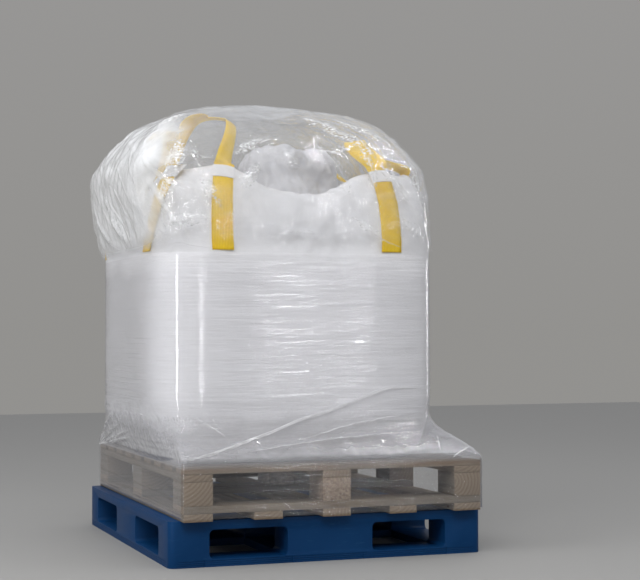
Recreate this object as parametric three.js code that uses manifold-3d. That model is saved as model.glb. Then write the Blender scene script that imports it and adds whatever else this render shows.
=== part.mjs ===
// A filled bulk bag on its two pallets, under a loose film hood and a stretch wrapped film.
// Millimetres, +Z up. The origin is the centre of the plastic pallet's underside,
// +X runs along the front and +Y runs away from the front.

import * as THREE from 'three';
import { mergeVertices } from 'three/addons/utils/BufferGeometryUtils.js';
import Module from 'manifold-3d';

const wasm = await Module();
wasm.setup();

// Plastic pallet, moulded in one piece with four fork tunnels
const plasticWidth = 1100;
const plasticDepth = 1260;
const plasticHeight = 150;
const plasticCornerCut = 26;
const plasticDeckThickness = 30;
const plasticRimHeight = 25;
const tunnelWidthFront = 267;
const tunnelWidthSide = 340;
const tunnelCentreFront = 282.5;
const tunnelCentreSide = 320;
const tunnelCornerRadius = 17;

// Wooden block pallet, which stands on the plastic one
const woodWidth = 1044;
const woodDepth = 1300;
const woodCentreX = 10;
const woodFrontY = -667;
const boardWidth = 98;
const bottomBoardThickness = 26;
const lowerStringerThickness = 24;
const blockHeight = 78;
const upperStringerThickness = 24;
const deckBoardThickness = 18;
const blockDepth = 138;
const bottomBoardCount = 5;
const deckBoardCount = 9;

// Bulk bag: half sizes in plan, and the roundness of its plan outline
const bagHalfX = 510;
const bagHalfY = 520;
const bagCentre = new THREE.Vector2(-58, -55);
const bagRoundness = 6;
const bagShoulderZ = 1016;
const bagRimZ = 1226;
const bagTopZ = 1205;
const bagCornerLift = 90;
const bagRearLeftLean = 70;

// Gathered skirt of fabric on the bag's top
const skirtCentre = new THREE.Vector2(44, -40);
const skirtTopZ = 1438;

// Lift loops of flat webbing, two legs to each corner of the bag
const webbingWidth = 73;
const webbingThickness = 3;
const webbingGap = 0.8;
const webbingRimGap = 3.2;
const legBottomZ = 1029;
const sleeveWidth = 82;
const sleeveThickness = 2;
const sleeveHeightShare = 0.16;

// Films: both are far thinner in reality
const filmThickness = 2;
const filmGap = 0.8;
const hoodHemZ = 760;
const hoodTopZ = 1560;
const wrapTopZ = 1018;
const wrapBottomZ = 158;
const tentTopZ = 480;

const outlineSegments = 56;
const woodBottomZ = plasticHeight;
const stringerBottomZ = woodBottomZ + bottomBoardThickness;
const blockBottomZ = stringerBottomZ + lowerStringerThickness;
const blockTopZ = blockBottomZ + blockHeight;
const deckBottomZ = blockTopZ + upperStringerThickness;
const deckTopZ = deckBottomZ + deckBoardThickness;
const woodCentreY = woodFrontY + woodDepth / 2;

const finishes = {
  plastic: { color: 0x0b4a9c, roughness: 0.5, metalness: 0 },
  timber: { color: 0xb39a80, roughness: 0.85, metalness: 0 },
  chipboard: { color: 0x9c7b5c, roughness: 0.9, metalness: 0 },
  fabric: { color: 0xe9e9ee, roughness: 0.75, metalness: 0 },
  webbing: { color: 0xe6b312, roughness: 0.7, metalness: 0 },
  film: { color: 0xe4e6ec, roughness: 0.15, metalness: 0, transparent: true, opacity: 0.3 },
};

const object = new THREE.Group();

function add(name, geometry, finish, position = [0, 0, 0]) {
  const mesh = new THREE.Mesh(geometry, new THREE.MeshStandardMaterial(finishes[finish]));
  mesh.name = name;
  mesh.position.set(...position);
  object.add(mesh);
}

function weld(geometry) {
  geometry.deleteAttribute('normal');
  geometry.deleteAttribute('uv');
  return mergeVertices(geometry, 1e-3);
}

// Joining and cutting of closed shapes

function toSolid(geometry) {
  const welded = weld(geometry);
  return new wasm.Manifold(new wasm.Mesh({
    numProp: 3,
    vertProperties: welded.attributes.position.array,
    triVerts: new Uint32Array(welded.index.array),
  }));
}

function toGeometry(solid) {
  const mesh = solid.getMesh();
  const geometry = new THREE.BufferGeometry();
  geometry.setAttribute('position', new THREE.BufferAttribute(mesh.vertProperties, 3));
  geometry.setIndex(new THREE.BufferAttribute(mesh.triVerts, 1));
  geometry.computeVertexNormals();
  return geometry;
}

// Soft shapes: a sphere or a lathe whose vertices are placed by a rule. The rule gets the row
// along the profile and the direction around the plan outline.

function facingOut(geometry) {
  const position = geometry.attributes.position;
  const index = geometry.index.array;
  const corner = [0, 1, 2].map(() => new THREE.Vector3());
  let volume = 0;
  for (let i = 0; i < index.length; i += 3) {
    corner.forEach((point, k) => point.fromBufferAttribute(position, index[i + k]));
    volume += corner[0].dot(corner[1].clone().cross(corner[2])) / 6;
  }
  if (volume < 0) {
    for (let i = 0; i < index.length; i += 3) {
      [index[i], index[i + 1]] = [index[i + 1], index[i]];
    }
  }
  geometry.computeVertexNormals();
  return geometry;
}

function placeByRows(geometry, lastRow, place) {
  const position = geometry.attributes.position;
  const uv = geometry.attributes.uv;
  for (let i = 0; i < position.count; i += 1) {
    const around = Math.round(uv.getX(i) * outlineSegments) % outlineSegments;
    const row = Math.round(uv.getY(i) * lastRow);
    position.setXYZ(i, ...place(row, (2 * Math.PI * around) / outlineSegments));
  }
  return facingOut(weld(geometry));
}

function closedSkin(rowCount, place) {
  const geometry = new THREE.SphereGeometry(1, outlineSegments, rowCount - 1);
  const uv = geometry.attributes.uv;
  for (let i = 0; i < uv.count; i += 1) {
    const column = i % (outlineSegments + 1);
    uv.setX(i, column / outlineSegments);
  }
  return placeByRows(geometry, rowCount - 1, place);
}

function openTube(rowCount, place) {
  const profile = [];
  for (let row = 0; row <= rowCount; row += 1) {
    profile.push(new THREE.Vector2(1, row));
  }
  const geometry = new THREE.LatheGeometry(profile, outlineSegments);
  return placeByRows(geometry, rowCount, (row, angle) => place(row % rowCount, angle));
}

// A rounded square as a pair of shares from -1 to 1, in the given direction
function roundedSquare(angle, roundness) {
  const cos = Math.cos(angle);
  const sin = Math.sin(angle);
  const length = (Math.abs(cos) ** roundness + Math.abs(sin) ** roundness) ** (1 / roundness);
  return [cos / length, sin / length];
}

function sharpSquare(angle) {
  const cos = Math.cos(angle);
  const sin = Math.sin(angle);
  const length = Math.max(Math.abs(cos), Math.abs(sin));
  return [cos / length, sin / length];
}

// The value of a table of [key, value, ...] rows at a key between its first and last
function readTable(table, key, column) {
  const next = table.findIndex((row) => row[0] >= key);
  if (next < 0) return table[table.length - 1][column];
  if (next === 0) return table[0][column];
  const [low, high] = [table[next - 1], table[next]];
  const share = (key - low[0]) / (high[0] - low[0]);
  return low[column] + share * (high[column] - low[column]);
}

// Plastic pallet

function plasticOutline() {
  const x = plasticWidth / 2;
  const y = plasticDepth / 2;
  const cut = plasticCornerCut;
  const shape = new THREE.Shape();
  shape.moveTo(-x + cut, -y);
  shape.lineTo(x - cut, -y);
  shape.quadraticCurveTo(x - cut / 4, -y + cut / 4, x, -y + cut);
  shape.lineTo(x, y - cut);
  shape.quadraticCurveTo(x - cut / 4, y - cut / 4, x - cut, y);
  shape.lineTo(-x + cut, y);
  shape.quadraticCurveTo(-x + cut / 4, y - cut / 4, -x, y - cut);
  shape.lineTo(-x, -y + cut);
  shape.quadraticCurveTo(-x + cut / 4, -y + cut / 4, -x + cut, -y);
  return shape;
}

// A tunnel of rounded section that runs along Y through the origin
function tunnel(width, length) {
  const half = width / 2;
  const low = plasticRimHeight;
  const high = plasticHeight - plasticDeckThickness;
  const r = tunnelCornerRadius;
  const shape = new THREE.Shape();
  shape.moveTo(-half + r, low);
  shape.lineTo(half - r, low);
  shape.absarc(half - r, low + r, r, -Math.PI / 2, 0);
  shape.lineTo(half, high - r);
  shape.absarc(half - r, high - r, r, 0, Math.PI / 2);
  shape.lineTo(-half + r, high);
  shape.absarc(-half + r, high - r, r, Math.PI / 2, Math.PI);
  shape.lineTo(-half, low + r);
  shape.absarc(-half + r, low + r, r, Math.PI, Math.PI * 1.5);
  const geometry = new THREE.ExtrudeGeometry(shape, {
    depth: length,
    bevelEnabled: false,
    curveSegments: 4,
  });
  geometry.rotateX(Math.PI / 2);
  geometry.translate(0, length / 2, 0);
  return geometry;
}

function plasticPallet() {
  const pastEdge = 40;
  const block = new THREE.ExtrudeGeometry(plasticOutline(), {
    depth: plasticHeight,
    bevelEnabled: false,
    curveSegments: 5,
  });
  let solid = toSolid(block);
  for (const side of [-1, 1]) {
    const along = tunnel(tunnelWidthFront, plasticDepth + pastEdge);
    along.translate(side * tunnelCentreFront, 0, 0);
    const across = tunnel(tunnelWidthSide, plasticWidth + pastEdge);
    across.rotateZ(Math.PI / 2);
    across.translate(0, side * tunnelCentreSide, 0);
    solid = solid.subtract(toSolid(along)).subtract(toSolid(across));
    for (const end of [-1, 1]) {
      const window = new THREE.BoxGeometry(tunnelWidthFront, tunnelWidthSide, plasticRimHeight * 3);
      window.translate(side * tunnelCentreFront, end * tunnelCentreSide, 0);
      solid = solid.subtract(toSolid(window));
    }
  }
  return toGeometry(solid);
}

add('plastic_pallet', plasticPallet(), 'plastic');

// Wooden pallet

function spread(count, whole, piece, index) {
  return -whole / 2 + piece / 2 + (index * (whole - piece)) / (count - 1);
}

function addBox(name, size, finish, position) {
  add(name, new THREE.BoxGeometry(...size), finish, position);
}

for (let i = 0; i < bottomBoardCount; i += 1) {
  const x = woodCentreX + spread(bottomBoardCount, woodWidth, boardWidth, i);
  const z = woodBottomZ + bottomBoardThickness / 2;
  const size = [boardWidth, woodDepth, bottomBoardThickness];
  addBox(`bottom_board_${i + 1}`, size, 'timber', [x, woodCentreY, z]);
}

const rowNames = ['front', 'middle', 'rear'];
const columnNames = ['left', 'centre', 'right'];

rowNames.forEach((rowName, row) => {
  const y = woodCentreY + spread(3, woodDepth, blockDepth, row);
  const z = stringerBottomZ + lowerStringerThickness / 2;
  const size = [woodWidth, blockDepth, lowerStringerThickness];
  addBox(`lower_stringer_${rowName}`, size, 'timber', [woodCentreX, y, z]);
  columnNames.forEach((columnName, column) => {
    const x = woodCentreX + spread(3, woodWidth, boardWidth, column);
    const finish = column === 1 ? 'chipboard' : 'timber';
    const blockSize = [boardWidth, blockDepth, blockHeight];
    const place = [x, y, blockBottomZ + blockHeight / 2];
    addBox(`block_${rowName}_${columnName}`, blockSize, finish, place);
  });
});

columnNames.forEach((columnName, column) => {
  const x = woodCentreX + spread(3, woodWidth, boardWidth, column);
  const z = blockTopZ + upperStringerThickness / 2;
  const size = [boardWidth, woodDepth, upperStringerThickness];
  addBox(`upper_stringer_${columnName}`, size, 'timber', [x, woodCentreY, z]);
});

for (let i = 0; i < deckBoardCount; i += 1) {
  const y = woodCentreY + spread(deckBoardCount, woodDepth, boardWidth, i);
  const z = deckBottomZ + deckBoardThickness / 2;
  const size = [woodWidth, boardWidth, deckBoardThickness];
  addBox(`deck_board_${i + 1}`, size, 'timber', [woodCentreX, y, z]);
}

// Bulk bag. Each profile row is the share of the half size, the height, and the share of the
// corner lift that the row takes.

const bagProfile = [
  [0, deckTopZ, 0],
  [0.45, deckTopZ, 0],
  [0.88, deckTopZ, 0],
  [0.93, deckTopZ + 26, 0],
  [0.965, deckTopZ + 76, 0],
  [0.99, deckTopZ + 138, 0],
  [1, deckTopZ + 215, 0],
  [1, (deckTopZ + 215 + bagShoulderZ) / 2, 0],
  [1, bagShoulderZ, 0],
  [1, bagShoulderZ + 46, 0.05],
  [0.99, bagShoulderZ + 94, 0.2],
  [0.97, bagShoulderZ + 140, 0.48],
  [0.935, bagRimZ - 32, 0.78],
  [0.89, bagRimZ, 1],
  [0.85, bagRimZ + 3, 1],
  [0.8, bagRimZ - 8, 0.75],
  [0.72, bagTopZ, 0],
  [0.3, bagTopZ, 0],
  [0, bagTopZ, 0],
];
const shoulderRow = 8;
const rimRow = 13;

// The rim is low in the middle of each panel and high over the legs and the corner
function liftAt(shareX, shareY) {
  const share = Math.min(Math.abs(shareX), Math.abs(shareY));
  const t = THREE.MathUtils.clamp((share - 0.08) / 0.55, 0, 1);
  return bagCornerLift * t * t * (3 - 2 * t);
}

// A point of the bag's skin: its plan shares, and a profile row that may lie between two rows
function bagPoint(shareX, shareY, row, outward = 0) {
  const low = bagProfile[Math.floor(row)];
  const high = bagProfile[Math.min(Math.floor(row) + 1, bagProfile.length - 1)];
  const between = row - Math.floor(row);
  const [size, height, lift] = low.map((value, k) => value + between * (high[k] - value));
  const rearLeft = Math.max(0, -shareX) * Math.max(0, shareY);
  return new THREE.Vector3(
    bagCentre.x - lift * rearLeft * bagRearLeftLean + shareX * (size * bagHalfX + outward),
    bagCentre.y + shareY * (size * bagHalfY + outward),
    height + lift * liftAt(shareX, shareY),
  );
}

function bulkBag() {
  return closedSkin(bagProfile.length, (row, angle) => {
    const [shareX, shareY] = roundedSquare(angle, bagRoundness);
    return bagPoint(shareX, shareY, row).toArray();
  });
}

add('bulk_bag', bulkBag(), 'fabric');

// Skirt of the bag's top, gathered and folded down on itself: radius, height, share of the folds
const skirtProfile = [
  [0, bagTopZ + 0.3, 0],
  [205, bagTopZ + 0.3, 0],
  [212, bagTopZ + 20, 0.5],
  [192, bagTopZ + 70, 1],
  [170, bagTopZ + 120, 1],
  [174, bagTopZ + 165, 1],
  [150, skirtTopZ - 26, 1],
  [85, skirtTopZ, 0.7],
  [0, skirtTopZ - 14, 0],
];

function topSkirt() {
  return closedSkin(skirtProfile.length, (row, angle) => {
    const [radius, height, folds] = skirtProfile[row];
    const wave = 1 + folds * (0.09 * Math.cos(3 * angle + 0.6) + 0.05 * Math.cos(7 * angle));
    return [
      skirtCentre.x + radius * wave * Math.cos(angle),
      skirtCentre.y + radius * wave * Math.sin(angle),
      height,
    ];
  });
}

add('top_skirt', topSkirt(), 'fabric');

// Lift loops. The first and last stretch of each lies on a panel of the bag, and the arch
// between them stands free. Pairs are for the panels 0 and 1: how far each leg's foot is from
// the middle of the bag, and its share of the bag's half size at the rim. The arch goes through
// three points. The turns are the webbing's about the upright, in degrees, at even places.
const loops = [
  {
    name: 'front_left', x: -1, y: -1, foot: [293, 320], rim: [0.6, 0.84], turns: [0, 36, 60, 58, 46, 84, 90],
    arch: [[-278, -398, 1472], [-336, -316, 1498], [-430, -374, 1446]],
  },
  {
    name: 'front_right', x: 1, y: -1, foot: [303, 303], rim: [0.6, 0.62], turns: [0, 44, 52, 68, 90],
    arch: [[196, -392, 1402], [206, -326, 1436], [286, -296, 1382]],
  },
  {
    name: 'rear_left', x: -1, y: 1, foot: [300, 300], rim: [0.5, 0.6], turns: [0, 40, 45, 50, 90],
    arch: [[-318, 240, 1466], [-370, 146, 1506], [-458, 150, 1462]],
  },
  {
    name: 'rear_right', x: 1, y: 1, foot: [300, 300], rim: [0.6, 0.6], turns: [0, 40, 45, 50, 90],
    arch: [[170, 290, 1400], [206, 200, 1430], [290, 196, 1396]],
  },
];
const legSteps = 12;
const archSteps = 20;
const archStartOnLeg = 0.86;
const archUpright = 22;

// Row of the bag's profile at a height on a leg, searched between shoulder and rim
function rowAtHeight(shareX, shareY, height) {
  let low = shoulderRow - 1;
  let high = rimRow;
  for (let i = 0; i < 30; i += 1) {
    const middle = (low + high) / 2;
    if (bagPoint(shareX, shareY, middle).z < height) low = middle;
    else high = middle;
  }
  return low;
}

// Point on a leg: panel 0 faces front or rear, panel 1 faces left or right. Along runs from 0
// at the leg's sewn foot to 1 at the bag's rim, and across is in millimetres.
function legPoint(loop, panel, along, across, offWebbing) {
  const half = panel === 0 ? bagHalfX : bagHalfY;
  const footShare = loop.foot[panel] / half;
  const near = footShare + along * (loop.rim[panel] - footShare) + across / half;
  const far = (1 - near ** bagRoundness) ** (1 / bagRoundness);
  const shareX = loop.x * (panel === 0 ? near : far);
  const shareY = loop.y * (panel === 0 ? far : near);
  const foot = rowAtHeight(shareX, shareY, legBottomZ);
  const gap = webbingGap + along * (webbingRimGap - webbingGap);
  return bagPoint(shareX, shareY, foot + along * (rimRow - foot), gap + offWebbing);
}

// Centre line of the arch, from the first leg to the second
function archPath(loop, outward) {
  const ends = [0, 1].map((panel) => legPoint(loop, panel, 1, 0, outward));
  const below = [0, 1].map((panel) => legPoint(loop, panel, archStartOnLeg, 0, outward));
  const up = new THREE.Vector3(0, 0, 1);
  const rise = ends.map((end, k) => end.clone().sub(below[k]).normalize().lerp(up, 0.2));
  const free = loop.arch.map((point) => new THREE.Vector3(...point));
  return new THREE.CatmullRomCurve3([
    below[0],
    ends[0],
    ends[0].clone().addScaledVector(rise[0], archUpright),
    ...free,
    ends[1].clone().addScaledVector(rise[1], archUpright),
    ends[1],
    below[1],
  ], false, 'centripetal');
}

// The webbing's turn about the upright, from 0 on panel 0 to a right angle on panel 1
function archTurn(loop, share) {
  const place = share * (loop.turns.length - 1);
  const index = Math.min(Math.floor(place), loop.turns.length - 2);
  const [from, to] = [loop.turns[index], loop.turns[index + 1]];
  return THREE.MathUtils.degToRad(THREE.MathUtils.lerp(from, to, place - index));
}

function liftLoop(loop) {
  const steps = legSteps + archSteps + legSteps;
  const geometry = new THREE.BoxGeometry(steps, 2, 1, steps, 2, 1);
  const position = geometry.attributes.position;
  const arch = archPath(loop, webbingThickness / 2);
  // The legs meet the arch at the second and the last but one of its nine points
  const firstT = 1 / 8;
  const lastT = 7 / 8;
  for (let i = 0; i < position.count; i += 1) {
    const step = Math.round(position.getX(i) + steps / 2);
    const across = (position.getY(i) * webbingWidth) / 2;
    const layer = position.getZ(i) + 0.5;
    const outward = layer * webbingThickness;
    let point;
    if (step <= legSteps) {
      point = legPoint(loop, 0, step / legSteps, across, outward);
    } else if (step >= steps - legSteps) {
      point = legPoint(loop, 1, (steps - step) / legSteps, across, outward);
    } else {
      const share = (step - legSteps) / archSteps;
      const t = firstT + share * (lastT - firstT);
      const tangent = arch.getTangent(t);
      const turn = archTurn(loop, share);
      const wide = new THREE.Vector3(loop.x * Math.cos(turn), loop.y * Math.sin(turn), 0);
      wide.addScaledVector(tangent, -wide.dot(tangent)).normalize();
      const out = wide.clone().cross(tangent).multiplyScalar(loop.x * loop.y).normalize();
      point = arch.getPoint(t).addScaledVector(wide, across);
      point.addScaledVector(out, (layer - 0.5) * webbingThickness * -1);
    }
    position.setXYZ(i, point.x, point.y, point.z);
  }
  return facingOut(weld(geometry));
}

// Fabric sleeve that holds a leg to the bag's rim, on the outside of the webbing
function loopSleeve(loop, panel) {
  const steps = 3;
  const geometry = new THREE.BoxGeometry(steps, 2, 1, steps, 4, 1);
  const position = geometry.attributes.position;
  for (let i = 0; i < position.count; i += 1) {
    const along = 1 - sleeveHeightShare * ((position.getX(i) + steps / 2) / steps);
    const across = (position.getY(i) * sleeveWidth) / 2;
    const layer = position.getZ(i) + 0.5;
    const outward = webbingThickness + webbingGap + layer * sleeveThickness;
    const point = legPoint(loop, panel, along, across, outward);
    position.setXYZ(i, point.x, point.y, point.z);
  }
  return facingOut(weld(geometry));
}

loops.forEach((loop) => {
  add(`lift_loop_${loop.name}`, liftLoop(loop), 'webbing');
  add(`loop_sleeve_${loop.name}_1`, loopSleeve(loop, 0), 'fabric');
  add(`loop_sleeve_${loop.name}_2`, loopSleeve(loop, 1), 'fabric');
});

// Cover hood: height, share of the bag's half size, plan roundness, and shift in X and Y
const hoodShape = [
  [hoodHemZ, 1, 6, 0, 0],
  [wrapTopZ, 1, 6, 0, 0],
  [wrapTopZ + 8, 1.018, 6, 0, 0],
  [wrapTopZ + 55, 1.028, 6, -5, 3],
  [1140, 1.04, 6, -15, 6],
  [1220, 1.05, 5.8, -30, 11],
  [1320, 1.038, 5.4, -41, 15],
  [1416, 0.935, 4.6, -46, 16],
  [1485, 0.8, 4.4, -46, 15],
  [1530, 0.62, 3.8, -38, 13],
  [1550, 0.42, 3, -26, 10],
  [hoodTopZ, 0, 2.6, -18, 7],
];

function hoodPoint(z, angle, outward) {
  const roundness = readTable(hoodShape, z, 2);
  const [shareX, shareY] = roundedSquare(angle, roundness);
  const size = readTable(hoodShape, z, 1);
  const spreadX = size > 0 ? size * bagHalfX + outward : 0;
  const spreadY = size > 0 ? size * bagHalfY + outward : 0;
  return [
    bagCentre.x + readTable(hoodShape, z, 3) + shareX * spreadX,
    bagCentre.y + readTable(hoodShape, z, 4) + shareY * spreadY,
  ];
}

function coverHood() {
  const heights = hoodShape.map((row) => row[0]);
  const rows = heights.length;
  return closedSkin(2 * rows, (row, angle) => {
    const inside = row < rows;
    const z = heights[inside ? rows - 1 - row : row - rows];
    const outward = inside ? filmGap : filmGap + filmThickness;
    const [x, y] = hoodPoint(z, angle, outward);
    const drop = z > 1500 && inside ? filmThickness : 0;
    return [x, y, z - drop];
  });
}

add('cover_hood', coverHood(), 'film');

// Stretch wrap: it hugs the bag and the hood's skirt, spreads out over the wooden pallet's deck
// and goes straight down its sides

const wrapInside = 2 * filmGap + filmThickness;
const bagSideShares = bagProfile.slice(2, 9).map(([size, height]) => [height, size]);

function outer(one, other, side) {
  return side < 0 ? Math.min(one, other) : Math.max(one, other);
}

function wrapPoint(z, angle, outward) {
  const round = roundedSquare(angle, bagRoundness);
  const sharp = sharpSquare(angle);
  const bagShare = readTable(bagSideShares, z, 1);
  const hugX = bagCentre.x + round[0] * (bagShare * bagHalfX + outward);
  const hugY = bagCentre.y + round[1] * (bagShare * bagHalfY + outward);
  const besideX = woodCentreX + sharp[0] * (woodWidth / 2 + outward);
  const besideY = woodCentreY + sharp[1] * (woodDepth / 2 + outward);
  if (z <= deckTopZ) return [besideX, besideY];
  if (z >= tentTopZ) return [hugX, hugY];
  const hug = THREE.MathUtils.smoothstep(z, deckTopZ, tentTopZ);
  const tentX = THREE.MathUtils.lerp(besideX, hugX, hug);
  const tentY = THREE.MathUtils.lerp(besideY, hugY, hug);
  return [outer(tentX, hugX, round[0]), outer(tentY, hugY, round[1])];
}

function stretchWrap() {
  const heights = [wrapBottomZ, deckTopZ, 340, 365, 390, 415, 445, tentTopZ, 535, 770, wrapTopZ];
  const rows = heights.length;
  return openTube(2 * rows, (row, angle) => {
    const inside = row >= rows;
    const z = heights[inside ? 2 * rows - 1 - row : row];
    const outward = inside ? wrapInside : wrapInside + filmThickness;
    const [x, y] = wrapPoint(z, angle, outward);
    return [x, y, z];
  });
}

add('stretch_wrap', stretchWrap(), 'film');

export default object;
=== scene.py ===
# %% [markdown]
# # A bulk bag on two pallets, under clear film
#
# The object is one large woven bag with four yellow lifting loops. It stands on a wooden block
# pallet, which stands on a blue moulded one. A loose clear hood hangs over the bag, and stretch
# film is wound around the hood's skirt, the bag and the wooden pallet.
#
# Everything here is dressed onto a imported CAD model, the frame. The frame gives each piece its
# place and size, and this script gives it its fine shape and its finish. Lengths are in metres,
# and `mm` turns a size in millimetres into metres.

# %% Load the frame
import math

import bmesh
import bpy
import numpy as np
from mathutils import Matrix, Vector, noise
from mathutils.bvhtree import BVHTree


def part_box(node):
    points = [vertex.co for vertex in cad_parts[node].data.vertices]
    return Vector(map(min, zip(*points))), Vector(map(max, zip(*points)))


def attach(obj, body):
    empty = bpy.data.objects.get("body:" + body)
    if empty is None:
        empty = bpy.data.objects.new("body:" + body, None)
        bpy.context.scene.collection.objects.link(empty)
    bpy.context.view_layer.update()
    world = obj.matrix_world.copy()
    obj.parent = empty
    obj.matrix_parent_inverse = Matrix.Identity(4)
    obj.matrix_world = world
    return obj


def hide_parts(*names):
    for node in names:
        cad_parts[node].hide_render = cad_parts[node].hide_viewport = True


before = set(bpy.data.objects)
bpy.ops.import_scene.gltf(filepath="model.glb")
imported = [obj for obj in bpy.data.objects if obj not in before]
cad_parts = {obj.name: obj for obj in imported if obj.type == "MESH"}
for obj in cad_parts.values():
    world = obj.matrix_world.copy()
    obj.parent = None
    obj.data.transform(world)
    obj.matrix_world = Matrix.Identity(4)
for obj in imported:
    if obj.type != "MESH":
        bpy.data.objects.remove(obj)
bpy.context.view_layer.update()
mm = 0.001

# %% [markdown]
# ## The camera
#
# The photograph was taken with a long lens from the front left, at about the height of the bag's
# middle. The camera could be aimed with a Track To constraint, but a matrix built from three
# angles keeps the slight roll as well.

# %% Camera
eye = Vector((-1770.2, -5474.3, 758.1)) * mm
yaw, pitch, roll = (math.radians(angle) for angle in (19.708, 1.545, -0.144))
focal_length_px = 1548.8
image_width_px = 640
sensor_width = 36.0

forward = Vector((
    math.sin(yaw) * math.cos(pitch), math.cos(yaw) * math.cos(pitch), math.sin(pitch),
))
level_right = Vector((math.cos(yaw), -math.sin(yaw), 0))
level_up = level_right.cross(forward)
right = level_right * math.cos(roll) + level_up * math.sin(roll)
up = level_up * math.cos(roll) - level_right * math.sin(roll)

camera_data = bpy.data.cameras.new("camera")
camera_data.sensor_width = sensor_width
camera_data.lens = focal_length_px / image_width_px * sensor_width
camera = bpy.data.objects.new("camera", camera_data)
bpy.context.scene.collection.objects.link(camera)
camera.matrix_world = Matrix.Translation(eye) @ Matrix((right, up, -forward)).transposed().to_4x4()
bpy.context.scene.camera = camera
print("lens:", round(camera_data.lens, 2), "mm")

# %% [markdown]
# ## Floor, backdrop and light
#
# Clear film is seen by what it reflects, so the light matters more than the film's colour. A sky
# that is bright overhead and dim below gives the even daylight of a hall. Four wide panels light
# the load. Only the one overhead is mirrored, because a wide light that the film mirrors lies over
# it like a veil. The Standard view keeps whites as they are.

# %% Floor and backdrop
floor_size = 14.0
bpy.ops.mesh.primitive_plane_add(size=floor_size, location=(0, 2, 0))
floor = bpy.context.object
floor.name = "floor"

floor_paint = bpy.data.materials.new("floor paint")
floor_paint.use_nodes = True
floor_shader = floor_paint.node_tree.nodes["Principled BSDF"]
floor_shader.inputs["Base Color"].default_value = (0.36, 0.355, 0.345, 1)
floor_shader.inputs["Roughness"].default_value = 0.7
floor.data.materials.append(floor_paint)

world = bpy.data.worlds.new("hall")
world.use_nodes = True
sky = world.node_tree
direction = sky.nodes.new("ShaderNodeTexCoord").outputs["Generated"]
height_in_sky = sky.nodes.new("ShaderNodeSeparateXYZ")
shade_of_sky = sky.nodes.new("ShaderNodeValToRGB")
sky.links.new(direction, height_in_sky.inputs[0])
sky.links.new(height_in_sky.outputs["Z"], shade_of_sky.inputs["Fac"])
sky.links.new(shade_of_sky.outputs["Color"], sky.nodes["Background"].inputs["Color"])
sky_stops = ((0.0, (0.29, 0.285, 0.275)), (0.22, (0.31, 0.305, 0.30)), (0.60, (0.55, 0.56, 0.58)))
while len(shade_of_sky.color_ramp.elements) < len(sky_stops):
    shade_of_sky.color_ramp.elements.new(1)
for stop, (place_in_sky, colour) in zip(shade_of_sky.color_ramp.elements, sky_stops):
    stop.position = place_in_sky
    stop.color = (*colour, 1)
sky.nodes["Background"].inputs["Strength"].default_value = 1.0
bpy.context.scene.world = world
bpy.context.scene.view_settings.view_transform = "Standard"
print("sky stops:", len(sky_stops))


# %% Lights
def add_light(name, place, target, size, power, mirrored=True):
    """A rectangular light at a place, turned to face the target; it stays out of the picture.

    A light that isn't mirrored still lights every piece, but none of them reflects it.
    """
    data = bpy.data.lights.new(name, "AREA")
    data.shape = "RECTANGLE"
    data.size, data.size_y = size
    data.energy = power
    light = bpy.data.objects.new(name, data)
    bpy.context.scene.collection.objects.link(light)
    turn = (Vector(target) - Vector(place)).to_track_quat("-Z", "Y")
    light.matrix_world = Matrix.Translation(place) @ turn.to_matrix().to_4x4()
    light.visible_camera = False
    light.visible_glossy = mirrored
    return light


middle = (0, 0, 0.8)
add_light("ceiling panel", (-0.5, -1.5, 5.2), middle, (5.0, 4.0), 26)
add_light("front panel", (-1.5, -3.6, 3.5), (0, -0.5, 1.0), (2.6, 1.2), 71, mirrored=False)
add_light("left panel", (-5.0, -1.5, 3.0), (0, 0, 1.0), (3.0, 2.0), 92, mirrored=False)
add_light("right panel", (5.0, -3.0, 3.4), middle, (2.5, 2.0), 26, mirrored=False)
print("panels:", len(bpy.data.lights))

# %% [markdown]
# ## Lamps for the glints
#
# What makes film look like film is its short hard glints. They come from long narrow lamps, which
# are seen in reflections and give no other light. Three hang under the ceiling, for the creases of
# the hood. Five stand low, and each makes one column of glints on the wall of wrap. A lamp's power
# is worked out from its size, so that its brightness stays the same when its size is changed.

# %% Long narrow lamps
ceiling_lamp_places = [(-3.3, -3.3, 4.7), (-2.8, -3.6, 4.7), (3.0, -1.8, 4.7)]
ceiling_lamp_size, ceiling_lamp_brightness = (0.05, 2.4), 200
low_lamps = [
    ((-4.73, -3.19, 0.9), (0.20, 1.6), 45), ((-1.21, -5.5, 0.85), (0.08, 1.5), 36),
    ((1.49, -5.32, 0.95), (0.04, 1.3), 45), ((2.02, -5.22, 0.95), (0.03, 1.3), 40),
    ((5.0, 1.44, 1.4), (0.1, 1.6), 30),
]
lamps = [(place, ceiling_lamp_size, ceiling_lamp_brightness) for place in ceiling_lamp_places]
lamps += low_lamps
for number, (lamp_place, lamp_size, brightness) in enumerate(lamps, 1):
    lamp_power = brightness * math.pi * lamp_size[0] * lamp_size[1]
    lamp = add_light(f"lamp {number}", lamp_place, middle, lamp_size, lamp_power)
    lamp.visible_diffuse = False
print("lamps:", len(lamps))

# %% [markdown]
# ## Small helpers
#
# Operators act on whatever is selected, so each piece starts by deselecting everything. Rigid
# pieces are modelled in edit mode, where a piece's upright edges, say, are picked in code by their
# direction. Bevels and cuts are modifiers that are applied at once.


# %% Helpers for modelling by hand
def deselect_all():
    if bpy.context.object and bpy.context.object.mode != "OBJECT":
        bpy.ops.object.mode_set(mode="OBJECT")
    bpy.ops.object.select_all(action="DESELECT")


def pick(obj):
    """Selects one piece alone and makes it the active one."""
    deselect_all()
    bpy.context.view_layer.objects.active = obj
    obj.select_set(True)


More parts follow.
